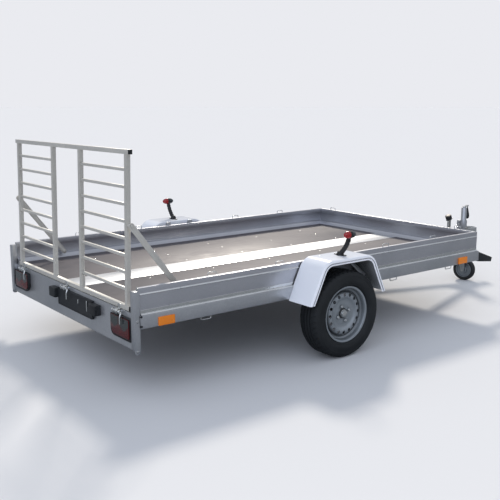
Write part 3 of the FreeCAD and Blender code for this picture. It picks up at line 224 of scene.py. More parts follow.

# %% [markdown]
# ## Rubber, plastic and paint
# Tyre rubber is matt and nearly black, greyed by road dust on the tread. The wheel discs
# are stoved silver lacquer, darkened by painted shade where the disc is dished. The fenders
# are moulded in pale plastic with a soft gloss and painted shade under the arch, and lamps
# are clear or dyed acrylic.


# %% Rubber, plastic, paint and lens finishes
def moulded(name, colour, dusty, gloss, rough, grain, height, ior=1.5):
    """Rubber or plastic out of a mould; grain is the width of its texture in metres."""
    material, tree, shader = new_material(name)
    where = place_on(tree)
    dirt = add_node(tree, "ShaderNodeTexNoise", {
        "Vector": where, "Scale": 7.0, "Detail": 7.0, "Roughness": 0.65}).outputs[0]
    texture = add_node(tree, "ShaderNodeTexNoise", {
        "Vector": where, "Scale": 1 / grain, "Detail": 2.0}).outputs[0]
    bump = add_node(tree, "ShaderNodeBump", {"Height": texture, "Strength": height, "Distance": 0.4 * MM})
    set_sockets(tree, shader, {
        "Base Color": blended(tree, ranged(tree, dirt, 0, 1, 0.4, 0.75), colour, dusty),
        "Roughness": ranged(tree, dirt, gloss, rough, 0.3, 0.7),
        "IOR": ior,
        "Normal": bump.outputs[0],
    })
    return material


tyre_rubber = moulded("tyre_rubber", "#14181B", "#25292B", 0.55, 0.8, 5 * MM, 0.3)
black_rubber = moulded("moulded_rubber", "#1B1C1E", "#2C2C2C", 0.5, 0.72, 4 * MM, 0.25)
black_plastic = moulded("black_polypropylene", "#16181B", "#262A2E", 0.34, 0.55, 2 * MM, 0.15)
cast_iron = moulded("painted_cast_iron", "#232528", "#3A3B3B", 0.42, 0.7, 6 * MM, 0.4, 1.6)


def dirty_and_shaded_paint(name, dirt_and_shade_colour, clean_lit_colour, reach, clean_and_lit_at, metal, smooth, rough, scale):
    """A painted finish with noise dirt, and painted shade that darkens it where walls stand close; reach is
    how far apart those walls may stand.
    """
    material, tree, shader = new_material(name)
    where = place_on(tree)
    grime = add_node(tree, "ShaderNodeTexNoise", {
        "Vector": where, "Scale": scale, "Detail": 8.0, "Roughness": 0.7}).outputs[0]
    # Ambient occlusion finds where walls stand close, and the colour darkens there as painted shade.
    hollow_shade = add_node(tree, "ShaderNodeAmbientOcclusion", {"Distance": reach}, samples=8).outputs["AO"]
    share = add_node(tree, "ShaderNodeMath", {0: ranged(tree, grime, 0.8, 1.15), 1: hollow_shade},
                     operation="MULTIPLY").outputs[0]
    clean_and_lit = ranged(tree, share, 0, 1, clean_and_lit_at[0], clean_and_lit_at[1])
    set_sockets(tree, shader, {
        "Base Color": blended(tree, clean_and_lit, dirt_and_shade_colour, clean_lit_colour),
        "Metallic": metal,
        "Roughness": ranged(tree, clean_and_lit, rough, smooth),
        "IOR": 1.5,
    })
    return material


# Both finishes darken where walls stand close, in the disc's dish and under the fender's arch: painted shade,
# with noise dirt over it.
rim_lacquer = dirty_and_shaded_paint(
    "silver_wheel_lacquer", "#3C3E40", "#A4ABB0", 60 * MM, (0.25, 0.95), 0.6, 0.34, 0.6, 16.0)
fender_plastic = dirty_and_shaded_paint(
    "pale_fender_plastic", "#2E3230", "#F4F7FD", 300 * MM, (0.2, 0.55), 0.0, 0.2, 0.6, 5.0)


def lens(name, colour, deep, ribs):
    """Acrylic lamp lens; ribs is the width of its moulded prisms in metres."""
    material, tree, shader = new_material(name)
    where = place_on(tree)
    prisms = add_node(tree, "ShaderNodeTexVoronoi", {"Vector": where, "Scale": 1 / ribs, "Randomness": 0.0},
                      distance="CHEBYCHEV").outputs["Distance"]
    bump = add_node(tree, "ShaderNodeBump", {"Height": prisms, "Strength": 0.5, "Distance": 1.0 * MM})
    set_sockets(tree, shader, {
        "Base Color": blended(tree, ranged(tree, prisms, 0, 1, 0.1, 0.7), colour, deep),
        "Roughness": 0.16,
        "IOR": 1.49,
        "Coat Weight": 0.6,
        "Coat Roughness": 0.05,
        "Normal": bump.outputs[0],
    })
    return material


red_lens = lens("red_acrylic", "#660D11", "#300709", 8 * MM)
marker_lens = lens("red_marker_acrylic", "#B4161A", "#6E0C10", 8 * MM)
# Dark grey lens: clear over grey in the tail lamps, and painted shade on the marker lamps' front domes.
dark_grey_lens = lens("clear_over_grey_and_shaded_acrylic", "#394143", "#1A1F21", 8 * MM)
orange_prisms = lens("orange_prism_reflector", "#F6921E", "#D96A0C", 5 * MM)

FINISH = {
    "zinc_frame": hot_dip_zinc,
    "zinc_sheet": rolled_zinc_sheet,
    "floor_film": film_ply,
    "floor_metal": bright_strip,
    "tyre": tyre_rubber,
    "rim_silver": rim_lacquer,
    "hub_metal": cast_iron,
    "fender_white": fender_plastic,
    "black_rubber": black_rubber,
    "black_plastic": black_plastic,
    "lamp_red": red_lens,
    "reflector_orange": orange_prisms,
    "zinc_bright": bright_plated_zinc_and_hem_highlight,
}
print(len(FINISH), "finishes by slot")

# %% [markdown]
# ## Folded, welded and sawn pieces
# Sheet metal has no knife-sharp corners: a fold has a radius of a few millimetres, and it is
# the soft line of light along that fold that makes it read as metal. A CAD node is a shell
# of loose triangles. A copy of it is joined up, its flat triangles dissolved into whole
# faces, and a Bevel modifier rounds the true edges. The copy then stands for the node.


# %% Helpers for selecting, rounding and keeping a piece
def select_only(piece):
    """Leaves one object selected and active."""
    bpy.ops.object.select_all(action="DESELECT")
    piece.select_set(True)
    bpy.context.view_layer.objects.active = piece


def edit(piece):
    """Goes into edit mode on one piece, with all of it selected."""
    select_only(piece)
    bpy.ops.object.mode_set(mode="EDIT")
    bpy.ops.mesh.select_all(action="SELECT")


def leave_edit():
    bpy.ops.object.mode_set(mode="OBJECT")


def apply_modifier(piece, kind, **settings):
    """Adds one modifier, sets it and applies it."""
    select_only(piece)
    modifier = piece.modifiers.new(kind.lower(), kind)
    for name, value in settings.items():
        setattr(modifier, name, value)
    bpy.ops.object.modifier_apply(modifier=modifier.name)


def round_edges(piece, width, segments=2):
    """Bevels the edges that are sharper than 32 degrees."""
    apply_modifier(piece, "BEVEL", width=width, segments=segments, limit_method="ANGLE",
                   angle_limit=math.radians(32), use_clamp_overlap=True)


def keep(piece, body, slot, material=None, replaced=(), angle=38):
    """Finishes a piece: shading smooth up to an angle, a finish, a body and the nodes it stands for."""
    select_only(piece)
    if angle:
        bpy.ops.object.shade_smooth_by_angle(angle=math.radians(angle))
    bpy.ops.object.transform_apply(location=True, rotation=True, scale=True)
    piece.data.materials.clear()
    piece.data.materials.append(material or FINISH[slot])
    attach(piece, body)
    if replaced:
        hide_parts(*replaced)
    print(piece.name, len(piece.data.polygons), "faces")


def from_node(name, width, material):
    """A joined and rounded copy of a CAD node, which then stands for it."""
    node = NODES[name]
    piece = node.copy()
    piece.data = node.data.copy()
    piece.name = name + "_finished"
    piece.parent = None
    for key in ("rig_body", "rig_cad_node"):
        del piece[key]
    bpy.context.scene.collection.objects.link(piece)
    edit(piece)
    bpy.ops.mesh.remove_doubles(threshold=0.02 * MM)
    bpy.ops.mesh.dissolve_limited(angle_limit=math.radians(0.6))
    leave_edit()
    round_edges(piece, width)
    keep(piece, BODY_OF[name], SLOT_OF[name], material, [name])


# %% Rounded copies: node and the radius of its folds and corners in millimetres
ROUNDED = (
    ("side_rails", 2.5), ("front_rail", 2.5), ("cross_members", 2.0),
    ("side_panel_left", 1.4), ("side_panel_right", 1.4), ("front_panel", 1.4),
    ("floor_boards", 0.8), ("floor_strip", 0.6),
    ("end_posts", 3.0), ("rear_beam", 0.8), ("hinge_lugs", 0.8), ("strut_studs", 0.8),
    ("axle", 2.0), ("fender_brackets", 0.8), ("drawbar", 3.0), ("rail_caps", 2.5),
    ("gate_frame", 2.0), ("gate_rungs", 1.5), ("gate_caps", 1.2), ("gate_straps", 1.0),
    ("strut_left", 0.8), ("strut_right", 0.8),
    ("coupling_head", 2.5), ("coupling_handle", 2.0), ("plug_bracket", 0.8), ("plug_holder", 2.5),
    ("jockey_clamp", 1.0), ("jockey_leg", 0.8), ("jockey_fork", 1.2), ("jockey_rim", 1.0),
    ("jockey_tyre", 2.0), ("jockey_crank", 1.5),
)
OTHER_FINISH = {"gate_frame": gate_zinc, "gate_rungs": gate_zinc, "strut_left": gate_zinc,
                "strut_right": gate_zinc, "jockey_rim": rim_lacquer}
for node_name, radius in ROUNDED:
    from_node(node_name, radius * MM, OTHER_FINISH.get(node_name))

# %% [markdown]
# ## Wheels
# A tyre and a rim are turned shapes: one section goes all the way round. The section is
# drawn point by point by extruding a single vertex, then spun about the axle. The tread's
# three long grooves are part of that section. The short cuts across the shoulders are
# faces of the finished ring, picked by their place and pushed in.


# %% Helpers that draw a line and turn it
def added(shape, name=None, **settings):
    """Adds a primitive with nothing else selected; shape is its operator."""
    bpy.ops.object.select_all(action="DESELECT")
    shape(**settings)
    if name:
        bpy.context.object.name = name
    return bpy.context.object


def extrude(shift):
    """Extrudes what is selected and moves it by a shift."""
    bpy.ops.mesh.extrude_region_move(TRANSFORM_OT_translate={"value": shift})


def weld():
    """Selects everything and joins the points that lie on each other."""
    bpy.ops.mesh.select_all(action="SELECT")
    bpy.ops.mesh.remove_doubles(threshold=0.01 * MM)


def face_outwards():
    """Turns all faces outwards and leaves edit mode."""
    bpy.ops.mesh.select_all(action="SELECT")
    bpy.ops.mesh.normals_make_consistent(inside=False)
    leave_edit()


def drawn(name, points, closed=True):
    """A line of edges from point to point, drawn by extruding one vertex."""
    piece = added(bpy.ops.mesh.primitive_plane_add, name, size=MM, location=points[0])
    edit(piece)
    bpy.ops.mesh.select_mode(type="VERT")
    bpy.ops.mesh.merge(type="CENTER")
    last = points[0]
    for end in list(points[1:]) + ([points[0]] if closed else []):
        extrude(Vector(end) - Vector(last))
        last = end
    weld()
    leave_edit()
    return piece


def turn_round(piece, centre, axis, steps):
    """Spins a drawn line once round an axis and closes the seam."""
    edit(piece)
    bpy.ops.mesh.spin(steps=steps, angle=2 * math.pi, center=centre, axis=axis)
    weld()
    face_outwards()
    return piece


def prism(name, points, pull):
    """A drawn outline, filled and pulled into a solid."""
    piece = drawn(name, points)
    edit(piece)
    bpy.ops.mesh.edge_face_add()
    extrude(pull)
    face_outwards()
    return piece


def pick_faces(piece, wanted):
    """Goes into edit mode with those faces selected whose centre and normal pass the test."""
    select_only(piece)
    bpy.ops.object.mode_set(mode="EDIT")
    bpy.ops.mesh.select_mode(type="FACE")
    bpy.ops.mesh.select_all(action="DESELECT")
    leave_edit()
    shift = piece.matrix_world.translation
    for face in piece.data.polygons:
        face.select = bool(wanted(face.center + shift, face.normal))
    bpy.ops.object.mode_set(mode="EDIT")


def leave_faces():
    """Leaves edit mode after work on picked faces, with vertices as the things to pick again."""
    bpy.ops.mesh.select_mode(type="VERT")
    leave_edit()


def box_piece(name, low, high):
    """A cube stretched in edit mode to fill a box."""
    low, high = Vector(low), Vector(high)
    low, high = Vector(map(min, low, high)), Vector(map(max, low, high))
    middle = (low + high) / 2
    piece = added(bpy.ops.mesh.primitive_cube_add, name, size=1.0, location=middle)
    edit(piece)
    bpy.ops.transform.resize(value=high - low, center_override=middle)
    leave_edit()
    return piece


def centre_of(node):
    low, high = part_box(node)
    return (low + high) / 2


RAIL_FACE, RAIL_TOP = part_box("side_rails")[1].yz
PANEL_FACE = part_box("side_panel_left")[1].y


# %% The tyres
STEPS = 144
tyre_low, tyre_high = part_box("tyre_right")
WHEEL_RADIUS = (tyre_high.z - tyre_low.z) / 2
TYRE_HALF = (tyre_high.y - tyre_low.y) / 2
SEAT_RADIUS = 182 * MM
GROOVES = (-27 * MM, 0.0, 27 * MM)
GROOVE_FLOOR = WHEEL_RADIUS - 7 * MM
LINING = WHEEL_RADIUS - 16 * MM
BEAD_TOE = SEAT_RADIUS - 13 * MM
# height above the rim's seat, and distance from the middle plane, in millimetres
BEAD_ROWS = ((-13, 57), (0, 59), (4, 66), (9, 73), (12, 75), (14, 74))
# height above the rim's seat, and distance in from the widest point
WALL_ROWS = ((24, 2.5), (38, 0), (52, 0.5), (64, 2.5), (66, 1.5), (69, 2.5), (78, 6.5))
# depth below the tread, and distance in from the widest point
SHOULDER_ROWS = ((13, 9.5), (7, 15), (1.2, 28))
# a row of cuts: from and to this distance from the middle plane, its first step, and its depth
CUT_ROWS = ((54, 74, 0, 4.0), (33, 52, 1, 3.0))
CUT_EVERY = 3


def tyre_section():
    """The outline of a tyre's section as (radius, distance from the middle plane), a closed loop."""
    outside = [(SEAT_RADIUS + up * MM, out * MM) for up, out in BEAD_ROWS]
    outside += [(SEAT_RADIUS + up * MM, TYRE_HALF - back * MM) for up, back in WALL_ROWS]
    outside += [(WHEEL_RADIUS - deep * MM, TYRE_HALF - back * MM) for deep, back in SHOULDER_ROWS]
    tread = []
    for place in reversed(GROOVES):
        tread += [(WHEEL_RADIUS, place + 4.5 * MM), (GROOVE_FLOOR, place + 3 * MM),
                  (GROOVE_FLOOR, place - 3 * MM), (WHEEL_RADIUS, place - 4.5 * MM)]
    inside = [(r, -v) for r, v in reversed(outside)]
    lining = [(BEAD_TOE, -45 * MM), (LINING, -52 * MM), (LINING, 52 * MM), (BEAD_TOE, 45 * MM)]
    return outside + tread + inside + lining


def make_tyre(side_name, side):
    """A tyre: its section spun about the axle, with cuts pushed into the ribs."""
    middle = centre_of("tyre_" + side_name)
    points = [(middle.x, middle.y + v * side, middle.z + r) for r, v in tyre_section()]
    piece = turn_round(drawn("tyre_tread_" + side_name, points), middle, (0, 1, 0), STEPS)
    for low, high, first, depth in CUT_ROWS:
        def on_rib(place, normal):
            away = place - middle
            step = int(math.degrees(math.atan2(away.z, away.x)) % 360 / 360 * STEPS)
            return (low * MM < abs(away.y) < high * MM and step % CUT_EVERY == first
                    and math.hypot(away.x, away.z) > WHEEL_RADIUS - 11 * MM)

        pick_faces(piece, on_rib)
        bpy.ops.mesh.inset(thickness=2.2 * MM, use_boundary=True)
        bpy.ops.mesh.extrude_region_shrink_fatten(TRANSFORM_OT_shrink_fatten={"value": -depth * MM})
        leave_faces()
    keep(piece, "wheel_" + side_name, "tyre", replaced=["tyre_" + side_name], angle=30)


for side_name, side in SIDES:
    make_tyre(side_name, side)

# %% [markdown]
# A steel wheel is two pressings: a rim with a flange each side and a well between them,
# and a dished disc welded in the well. Round holes near the disc's edge cool and lighten
# it. Sixteen cylinders, arrayed round the axle, are taken away by a Boolean modifier, as a
# punch would, and the raised ring that they sit on is in the section.

# %% The wheel discs
VENT_RING = 123 * MM
VENT_RADIUS = 11 * MM
VENTS = 16
RIM_ROWS = (
    (182, 64), (181, 65.5), (176, 65), (170, 62.5), (167, 58), (166, 44), (162, 36), (152, 30), (149, 24),
    (146, 23), (143, 27), (139, 34), (134, 40), (128, 43.5), (118, 45), (110, 44), (103, 40), (96, 34),
    (88, 30), (72, 29.5), (66, 30.5), (60, 30.5), (56, 29.5), (34, 29.5), (33, 28.5), (33, 25.5), (58, 25.5),
    (90, 25.5), (98, 30), (105, 36), (112, 40), (118, 41), (128, 39.5), (133, 36), (137, 29), (141, 22),
    (145, 18), (148, -24), (151, -29), (166, -41), (167, -58), (170, -62), (182, -64), (182, -59.5),
    (171, -57), (169.5, -38), (153, -25), (152, 20), (169, 36), (169.5, 57), (182, 60),
)


def turned(name, rows, middle, side, steps):
    """A wheel part spun from rows of radius and distance out from the wheel's middle, in millimetres."""
    points = [(middle.x, middle.y + v * MM * side, middle.z + r * MM) for r, v in rows]
    return turn_round(drawn(name, points), middle, (0, 1, 0), steps)


def repeat_round(middle, count):
    """Copies what is selected in edit mode at even steps round the axle, and leaves edit mode."""
    for _ in range(count - 1):
        bpy.ops.mesh.duplicate()
        bpy.ops.transform.rotate(value=2 * math.pi / count, orient_axis="Y", center_override=middle)
    leave_edit()


def combine(piece, other, operation):
    """Unites a piece with a solid, or takes the solid away, with a Boolean."""
    apply_modifier(piece, "BOOLEAN", object=other, operation=operation, solver="EXACT")
    bpy.data.objects.remove(other)


def make_rim(side_name, side):
    """A pressed wheel: the section of rim and disc spun together, then punched."""
    middle = centre_of("rim_" + side_name)
    piece = turned("wheel_disc_" + side_name, RIM_ROWS, middle, side, 96)
    punch = added(bpy.ops.mesh.primitive_cylinder_add, vertices=24, radius=VENT_RADIUS, depth=60 * MM,
                  location=(middle.x + VENT_RING, middle.y + 40 * MM * side, middle.z),
                  rotation=(math.pi / 2, 0, 0))
    edit(punch)
    repeat_round(middle, VENTS)
    combine(piece, punch, "DIFFERENCE")
    keep(piece, "wheel_" + side_name, "rim_silver", replaced=["rim_" + side_name], angle=32)


for side_name, side in SIDES:
    make_rim(side_name, side)

# %% [markdown]
# The hub is a dark casting behind the disc. Its middle shows through as a rim round a
# pressed zinc cap that keeps the grease in, and four bolts clamp the disc to it.

# %% The hubs, caps and bolts
HUB_ROWS = ((16, -112), (36, -112), (38, -110), (48, -42), (48, -2), (52, 3), (67, 4), (68, 6), (68, 25.5),
            (32.5, 25.5), (32.5, 33), (30, 35), (25, 36), (24, 30), (16, 30))
CAP_ROWS = ((24.5, 30), (24.5, 37), (25.5, 38), (25.5, 40), (23.5, 41), (22.5, 48), (21, 50.5), (16, 51.6),
            (0, 52), (0, 49), (15, 48.5), (19, 47.5), (20, 30))
BOLT_RING = 50 * MM
BOLT_TURN = math.radians(20)


def make_hub(side_name, side):
    """Hub casting, grease cap and four bolts; the first two are spun, the bolts are bevelled prisms."""
    middle = centre_of("rim_" + side_name)
    body = "wheel_" + side_name
    for name, rows, slot, replaced in (("hub_casting_", HUB_ROWS, "hub_metal", ["hub_" + side_name]),
                                       ("grease_cap_", CAP_ROWS, "zinc_bright", [])):
        piece = turned(name + side_name, rows, middle, side, 48)
        keep(piece, body, slot, replaced=replaced, angle=35)
    bolts = added(bpy.ops.mesh.primitive_cylinder_add, "wheel_bolts_" + side_name,
                  vertices=6, radius=10 * MM, depth=11 * MM,
                  location=(middle.x + BOLT_RING, middle.y + 36 * MM * side, middle.z),
                  rotation=(math.pi / 2, 0, 0))
    out = Vector((0, side, 0))
    pick_faces(bolts, lambda p, n: (bolts.matrix_world.to_3x3() @ n).dot(out) > 0.9)
    for thickness, push in ((1.5, 1.5), (2.5, -1.0)):
        bpy.ops.mesh.inset(thickness=thickness * MM)
        extrude(out * push * MM)
    bpy.ops.mesh.select_mode(type="VERT")
    bpy.ops.mesh.select_all(action="SELECT")
    bpy.ops.transform.rotate(value=BOLT_TURN, orient_axis="Y", center_override=middle)
    repeat_round(middle, 4)
    keep(bolts, body, "zinc_bright", angle=30)


for side_name, side in SIDES:
    make_hub(side_name, side)

# %% [markdown]
# ## Fenders
# Each fender is one thin moulding. Its section, skin and turned-down lip with a bead, is
# drawn at the rear foot and swept along the arch: up the rear leg, round a shoulder, along
# the top, round the other shoulder and down. Straight runs are extrusions and the shoulders
# are spins, so the section never distorts. The feet are trimmed level, the rear one's outer
# corner is rounded, and a Boolean lets the rail through, so the skin reaches the side panel.

# %% The fenders
fender_low, fender_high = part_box("fender_right")
HALF_TOP = 210 * MM
HALF_LOW = (fender_high.x - fender_low.x) / 2
SHOULDER = 100 * MM
LEG_ANGLE = math.atan2(fender_high.z - fender_low.z, HALF_LOW - HALF_TOP)
PANEL_SEAT = 877.5 * MM
SKIRT_INNER = 882.5 * MM
SKIRT_DEEP = 36 * MM
FOOT_ROUND = 20 * MM
# the legs are swept this much too long, and trimmed level
FOOT_SPARE = 12 * MM
# distance in from the outer face, and depth below the skin, both in millimetres
LIP_ROWS = ((18, 0), (12, 0.5), (7.0, 2.2), (3.4, 5.2), (1.6, 9.0), (1.2, 15.0), (8.6, 16.5), (9.0, 22.0),
            (1.6, 24.0), (0.4, 26.5), (1.0, 30.0), (4.2, 33.0))


def make_fender(side_name, side):
    """Sweeps the fender's section along the arch with extrusions and two spins."""
    low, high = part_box("fender_" + side_name)
    axle_x = (low.x + high.x) / 2
    outer = high.y if side > 0 else low.y
    along = Vector((math.cos(LEG_ANGLE), 0, math.sin(LEG_ANGLE)))
    inward = Vector((math.sin(LEG_ANGLE), 0, -math.cos(LEG_ANGLE)))
    down = Vector((along.x, 0, -along.z))
    foot = Vector((axle_x - HALF_LOW, 0, low.z)) - along * FOOT_SPARE
    tangent = SHOULDER * math.tan(LEG_ANGLE / 2)
    leg = math.hypot(HALF_LOW - HALF_TOP, high.z - low.z) + FOOT_SPARE - tangent
    top_run = Vector((2 * (HALF_TOP - tangent) / 4, 0, 0))
    skirt = ((SKIRT_INNER, SKIRT_DEEP), (SKIRT_INNER, 4 * MM), (SKIRT_INNER + 3 * MM, 0))
    points = [foot + Vector((0, y * side, 0)) + inward * depth for y, depth in skirt]
    points += [foot + Vector((0, outer - back * MM * side, 0)) + inward * depth * MM
               for back, depth in LIP_ROWS]
    piece = drawn("fender_moulding_" + side_name, points, closed=False)
    edit(piece)
    for _ in range(4):
        extrude(along * leg / 4)
    rear_centre = Vector((axle_x - HALF_TOP + tangent, 0, high.z - SHOULDER))
    bpy.ops.mesh.spin(steps=12, angle=LEG_ANGLE, center=rear_centre, axis=(0, -1, 0))
    for _ in range(4):
        extrude(top_run)
    front_centre = Vector((axle_x + HALF_TOP - tangent, 0, high.z - SHOULDER))
    bpy.ops.mesh.spin(steps=12, angle=LEG_ANGLE, center=front_centre, axis=(0, -1, 0))
    for _ in range(4):
        extrude(down * leg / 4)
    weld()
    bpy.ops.mesh.bisect(plane_co=(0, 0, low.z), plane_no=(0, 0, 1), clear_inner=True)
    leave_edit()
    depth = 33 * MM - FOOT_ROUND
    climb = (FOOT_ROUND - inward.z * depth) / along.z
    corner = Vector((axle_x - HALF_LOW, outer, low.z)) + inward * depth + along * climb
    for share in (0.25, 0.5, 0.75):
        facing = inward * share - Vector((0, 0, 1 - share))
        pick_faces(piece, lambda p, n: p.x < axle_x - HALF_TOP)
        bpy.ops.mesh.bisect(plane_co=corner + facing.normalized() * FOOT_ROUND, plane_no=facing,
                            clear_outer=True)
        leave_edit()
    edit(piece)
    face_outwards()
    top = [f for f in piece.data.polygons if abs((f.center + piece.location).z - high.z) < MM]
    if top[0].normal.z < 0:
        edit(piece)
        bpy.ops.mesh.flip_normals()
        leave_edit()
    apply_modifier(piece, "SOLIDIFY", thickness=2.6 * MM, offset=-1.0)
    rail = box_piece("rail_room", (low.x - 0.1, (PANEL_SEAT - 10 * MM) * side, low.z - 0.1),
                     (high.x + 0.1, (RAIL_FACE + 0.3 * MM) * side, RAIL_TOP + 0.3 * MM))
    combine(piece, rail, "DIFFERENCE")
    keep(piece, "chassis", "fender_white", replaced=["fender_" + side_name], angle=35)


for side_name, side in SIDES:
    make_fender(side_name, side)

# %% [markdown]
# ## Small fittings
# The rest is small: lamps, reflectors, pins and bolts. More helpers make them. One rounds
# chosen edges, one gathers loose solids, and one runs a round wire along a bent line. Repeats
# are copied from one pattern, each copy with a mesh of its own.


# %% Helpers for rounding, wires and copies
def bevel_edges(piece, wanted, width, segments=5):
    """Rounds the edges whose two ends pass the test."""
    select_only(piece)
    bpy.ops.object.mode_set(mode="EDIT")
    bpy.ops.mesh.select_mode(type="EDGE")
    bpy.ops.mesh.select_all(action="DESELECT")
    leave_edit()
    spots = [piece.matrix_world @ v.co for v in piece.data.vertices]
    for line in piece.data.edges:
        line.select = bool(wanted(spots[line.vertices[0]], spots[line.vertices[1]]))
    bpy.ops.object.mode_set(mode="EDIT")
    bpy.ops.mesh.bevel(offset=width, segments=segments)
    bpy.ops.mesh.select_mode(type="VERT")
    leave_edit()


def along(axis):
    """A test for edges that run along one axis."""
    return lambda a, b: abs((b - a).normalized()[axis]) > 0.99


def gathered(name, pieces):
    """Several loose pieces as one object."""
    bpy.ops.object.select_all(action="DESELECT")
    for piece in pieces:
        piece.select_set(True)
    bpy.context.view_layer.objects.active = pieces[0]
    bpy.ops.object.join()
    pieces[0].name = name
    return pieces[0]


def wire(name, points, radius, bend):
    """A round wire along a line of points, its corners rounded to a bend."""
    edit(drawn(name, points, closed=False))
    bpy.ops.mesh.bevel(offset=bend, segments=4, affect="VERTICES")
    leave_edit()
    bpy.ops.object.convert(target="CURVE")
    line = bpy.context.object.data
    line.bevel_depth = radius
    line.bevel_resolution = 3
    line.use_fill_caps = True
    bpy.ops.object.convert(target="MESH")
    edit(bpy.context.object)
    weld()
    face_outwards()
    return bpy.context.object


def copies_of(pattern, name, places):
    """Copies of a pattern drawn at the origin along +Z, one at each (point, outward direction)."""
    made = []
    for point, out in places:
        twin = pattern.copy()
        twin.data = pattern.data.copy()
        bpy.context.scene.collection.objects.link(twin)
        twin.location = point
        twin.rotation_euler = Vector(out).to_track_quat("Z", "Y").to_euler()
        made.append(twin)
    bpy.context.view_layer.update()
    return gathered(name, made)


# %% [markdown]
# ## Marker lamps
# Each lamp sits on a stubby rubber arm that bends rather than breaks. The arm is a circle
# pulled down from the lamp and spun along a slow bend into its foot, and every second band
# of it is swelled into a rib. The lamp is a turned shape in three parts: a red dome to the
# rear, a rubber band, and a dome to the front that is clear on the real lamp; it takes a
# dark grey finish, painted shade for how dark it looks from behind.

# %% Marker arms and lamps
ARM_RADIUS = 14 * MM
ARM_BEND = 212 * MM
ARM_START = math.radians(16)
ARM_END = math.radians(52)
ARM_RISE = 10 * MM
ARM_NECK = 24 * MM
LAMP_RADIUS = 24 * MM
LAMP_HALF = 49 * MM
BAND_HALF = 9 * MM
RIB_STEP = 3.0


def make_marker(side_name, side):
    """A ribbed rubber arm with an eared foot, and its lamp."""
    low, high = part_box("fender_" + side_name)
    foot = Vector(((low.x + high.x) / 2 + 14 * MM, (low.y + high.y) / 2 - 10 * MM * side, high.z))
    out = Vector((0, side, 0))
    up = Vector((0, 0, 1))
    stem = out * math.sin(ARM_START) + up * math.cos(ARM_START)
    centre = foot + up * ARM_RISE - (out * math.cos(ARM_END) - up * math.sin(ARM_END)) * ARM_BEND
    neck = centre + (out * math.cos(ARM_START) - up * math.sin(ARM_START)) * ARM_BEND
    lamp_at = neck + stem * ARM_NECK

    arm = added(bpy.ops.mesh.primitive_circle_add, vertices=24, radius=ARM_RADIUS, location=lamp_at,
                rotation=stem.to_track_quat("Z", "Y").to_euler())
    edit(arm)
    extrude(-stem * ARM_NECK)
    bpy.ops.mesh.spin(steps=12, angle=ARM_END - ARM_START, center=centre, axis=out.cross(up))
    weld()
    bpy.ops.mesh.fill_holes(sides=0)
    face_outwards()
    bpy.ops.object.transform_apply(location=False, rotation=True, scale=True)

    def rib(place, normal):
        away = place - centre
        band = (math.atan2(-away.z, away.dot(out)) - ARM_START) / math.radians(RIB_STEP)
        return 1 < band < 10 and int(band) % 2 == 1

    pick_faces(arm, rib)
    bpy.ops.mesh.inset(thickness=1.2 * MM)
    bpy.ops.transform.shrink_fatten(value=1.6 * MM)
    leave_faces()

    base = added(bpy.ops.mesh.primitive_cone_add, vertices=32, radius1=25 * MM, radius2=17 * MM,
                 depth=26 * MM, location=foot + up * 13 * MM)
    ears = box_piece("ears", foot - Vector((13, 49, 0)) * MM, foot + Vector((13, 49, 5)) * MM)
    bevel_edges(ears, along(2), 10 * MM)
    round_edges(ears, 1.2 * MM)
    arm.name = "marker_arm_" + side_name
    combine(arm, base, "UNION")
    combine(arm, ears, "UNION")
    keep(arm, "chassis", "black_rubber", replaced=["marker_arms"], angle=35)

    dome = []
    for number in range(6):
        turn_by = math.radians(15 * number)
        dome.append((BAND_HALF + (LAMP_HALF - BAND_HALF) * math.sin(turn_by),
                     (LAMP_RADIUS - 0.6 * MM) * math.cos(turn_by)))
    dome += [(LAMP_HALF, 0.0), (BAND_HALF, 0.0)]
    band = [(-9.5 * MM, 0.0), (-9.5 * MM, LAMP_RADIUS - 1.5 * MM), (-8 * MM, LAMP_RADIUS),
            (8 * MM, LAMP_RADIUS), (9.5 * MM, LAMP_RADIUS - 1.5 * MM), (9.5 * MM, 0.0)]
    parts = (("marker_red_", dome, -1, marker_lens, "lamp_red", ["marker_lamps"]),
             # The front dome is clear on the real lamp; its dark grey finish is painted shade.
             ("marker_clear_", dome, 1, dark_grey_lens, "lamp_red", []),
             ("marker_band_", band, 1, black_rubber, "black_rubber", []))
    for name, rows, way, finish_with, slot, replaced in parts:
        points = [(lamp_at.x + u * way, lamp_at.y, lamp_at.z + r) for u, r in rows]
        piece = turn_round(drawn(name + side_name, points), lamp_at, (1, 0, 0), 32)
        keep(piece, "chassis", slot, finish_with, replaced, 35)


for side_name, side in SIDES:
    make_marker(side_name, side)

# %% [markdown]
# ## Tail lamps and plate holder
# A tail lamp is a black tray with a red lens let into it. The upper part of the lens is
# clear over grey, in two shields that dip into the red. The plate holder is a shallow black
# tray with a light at each end, kept blank.

# %% Tail lamps
lamps_low, lamps_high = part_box("tail_lamps")
TAIL_WIDE = 231 * MM
TAIL_LOW = 312 * MM
TAIL_HIGH = 440 * MM
BEAM_FACE = lamps_high.x
SLOPE_NORMAL = Vector((67, 0, -19)).normalized()
SLOPE_START = 350 * MM
# a clear shield: its two ends and its lowest point along the lamp, and that point's height, in millimetres
SHIELDS = ((10, 94, 52, 366), (100, 208, 160, 358))


def follow_beam(piece):
    """Trims a fitting to the sloping lower part of the rear beam."""
    edit(piece)
    bpy.ops.mesh.bisect(plane_co=(BEAM_FACE, 0, SLOPE_START), plane_no=SLOPE_NORMAL, use_fill=True,
                        clear_outer=True)
    leave_edit()


def sink_back(piece, margin):
    """Sinks a fitting's rear face by 3 mm inside a margin."""
    pick_faces(piece, lambda p, n: n.x < -0.9)
    bpy.ops.mesh.inset(thickness=margin)
    extrude((3 * MM, 0, 0))
    leave_faces()


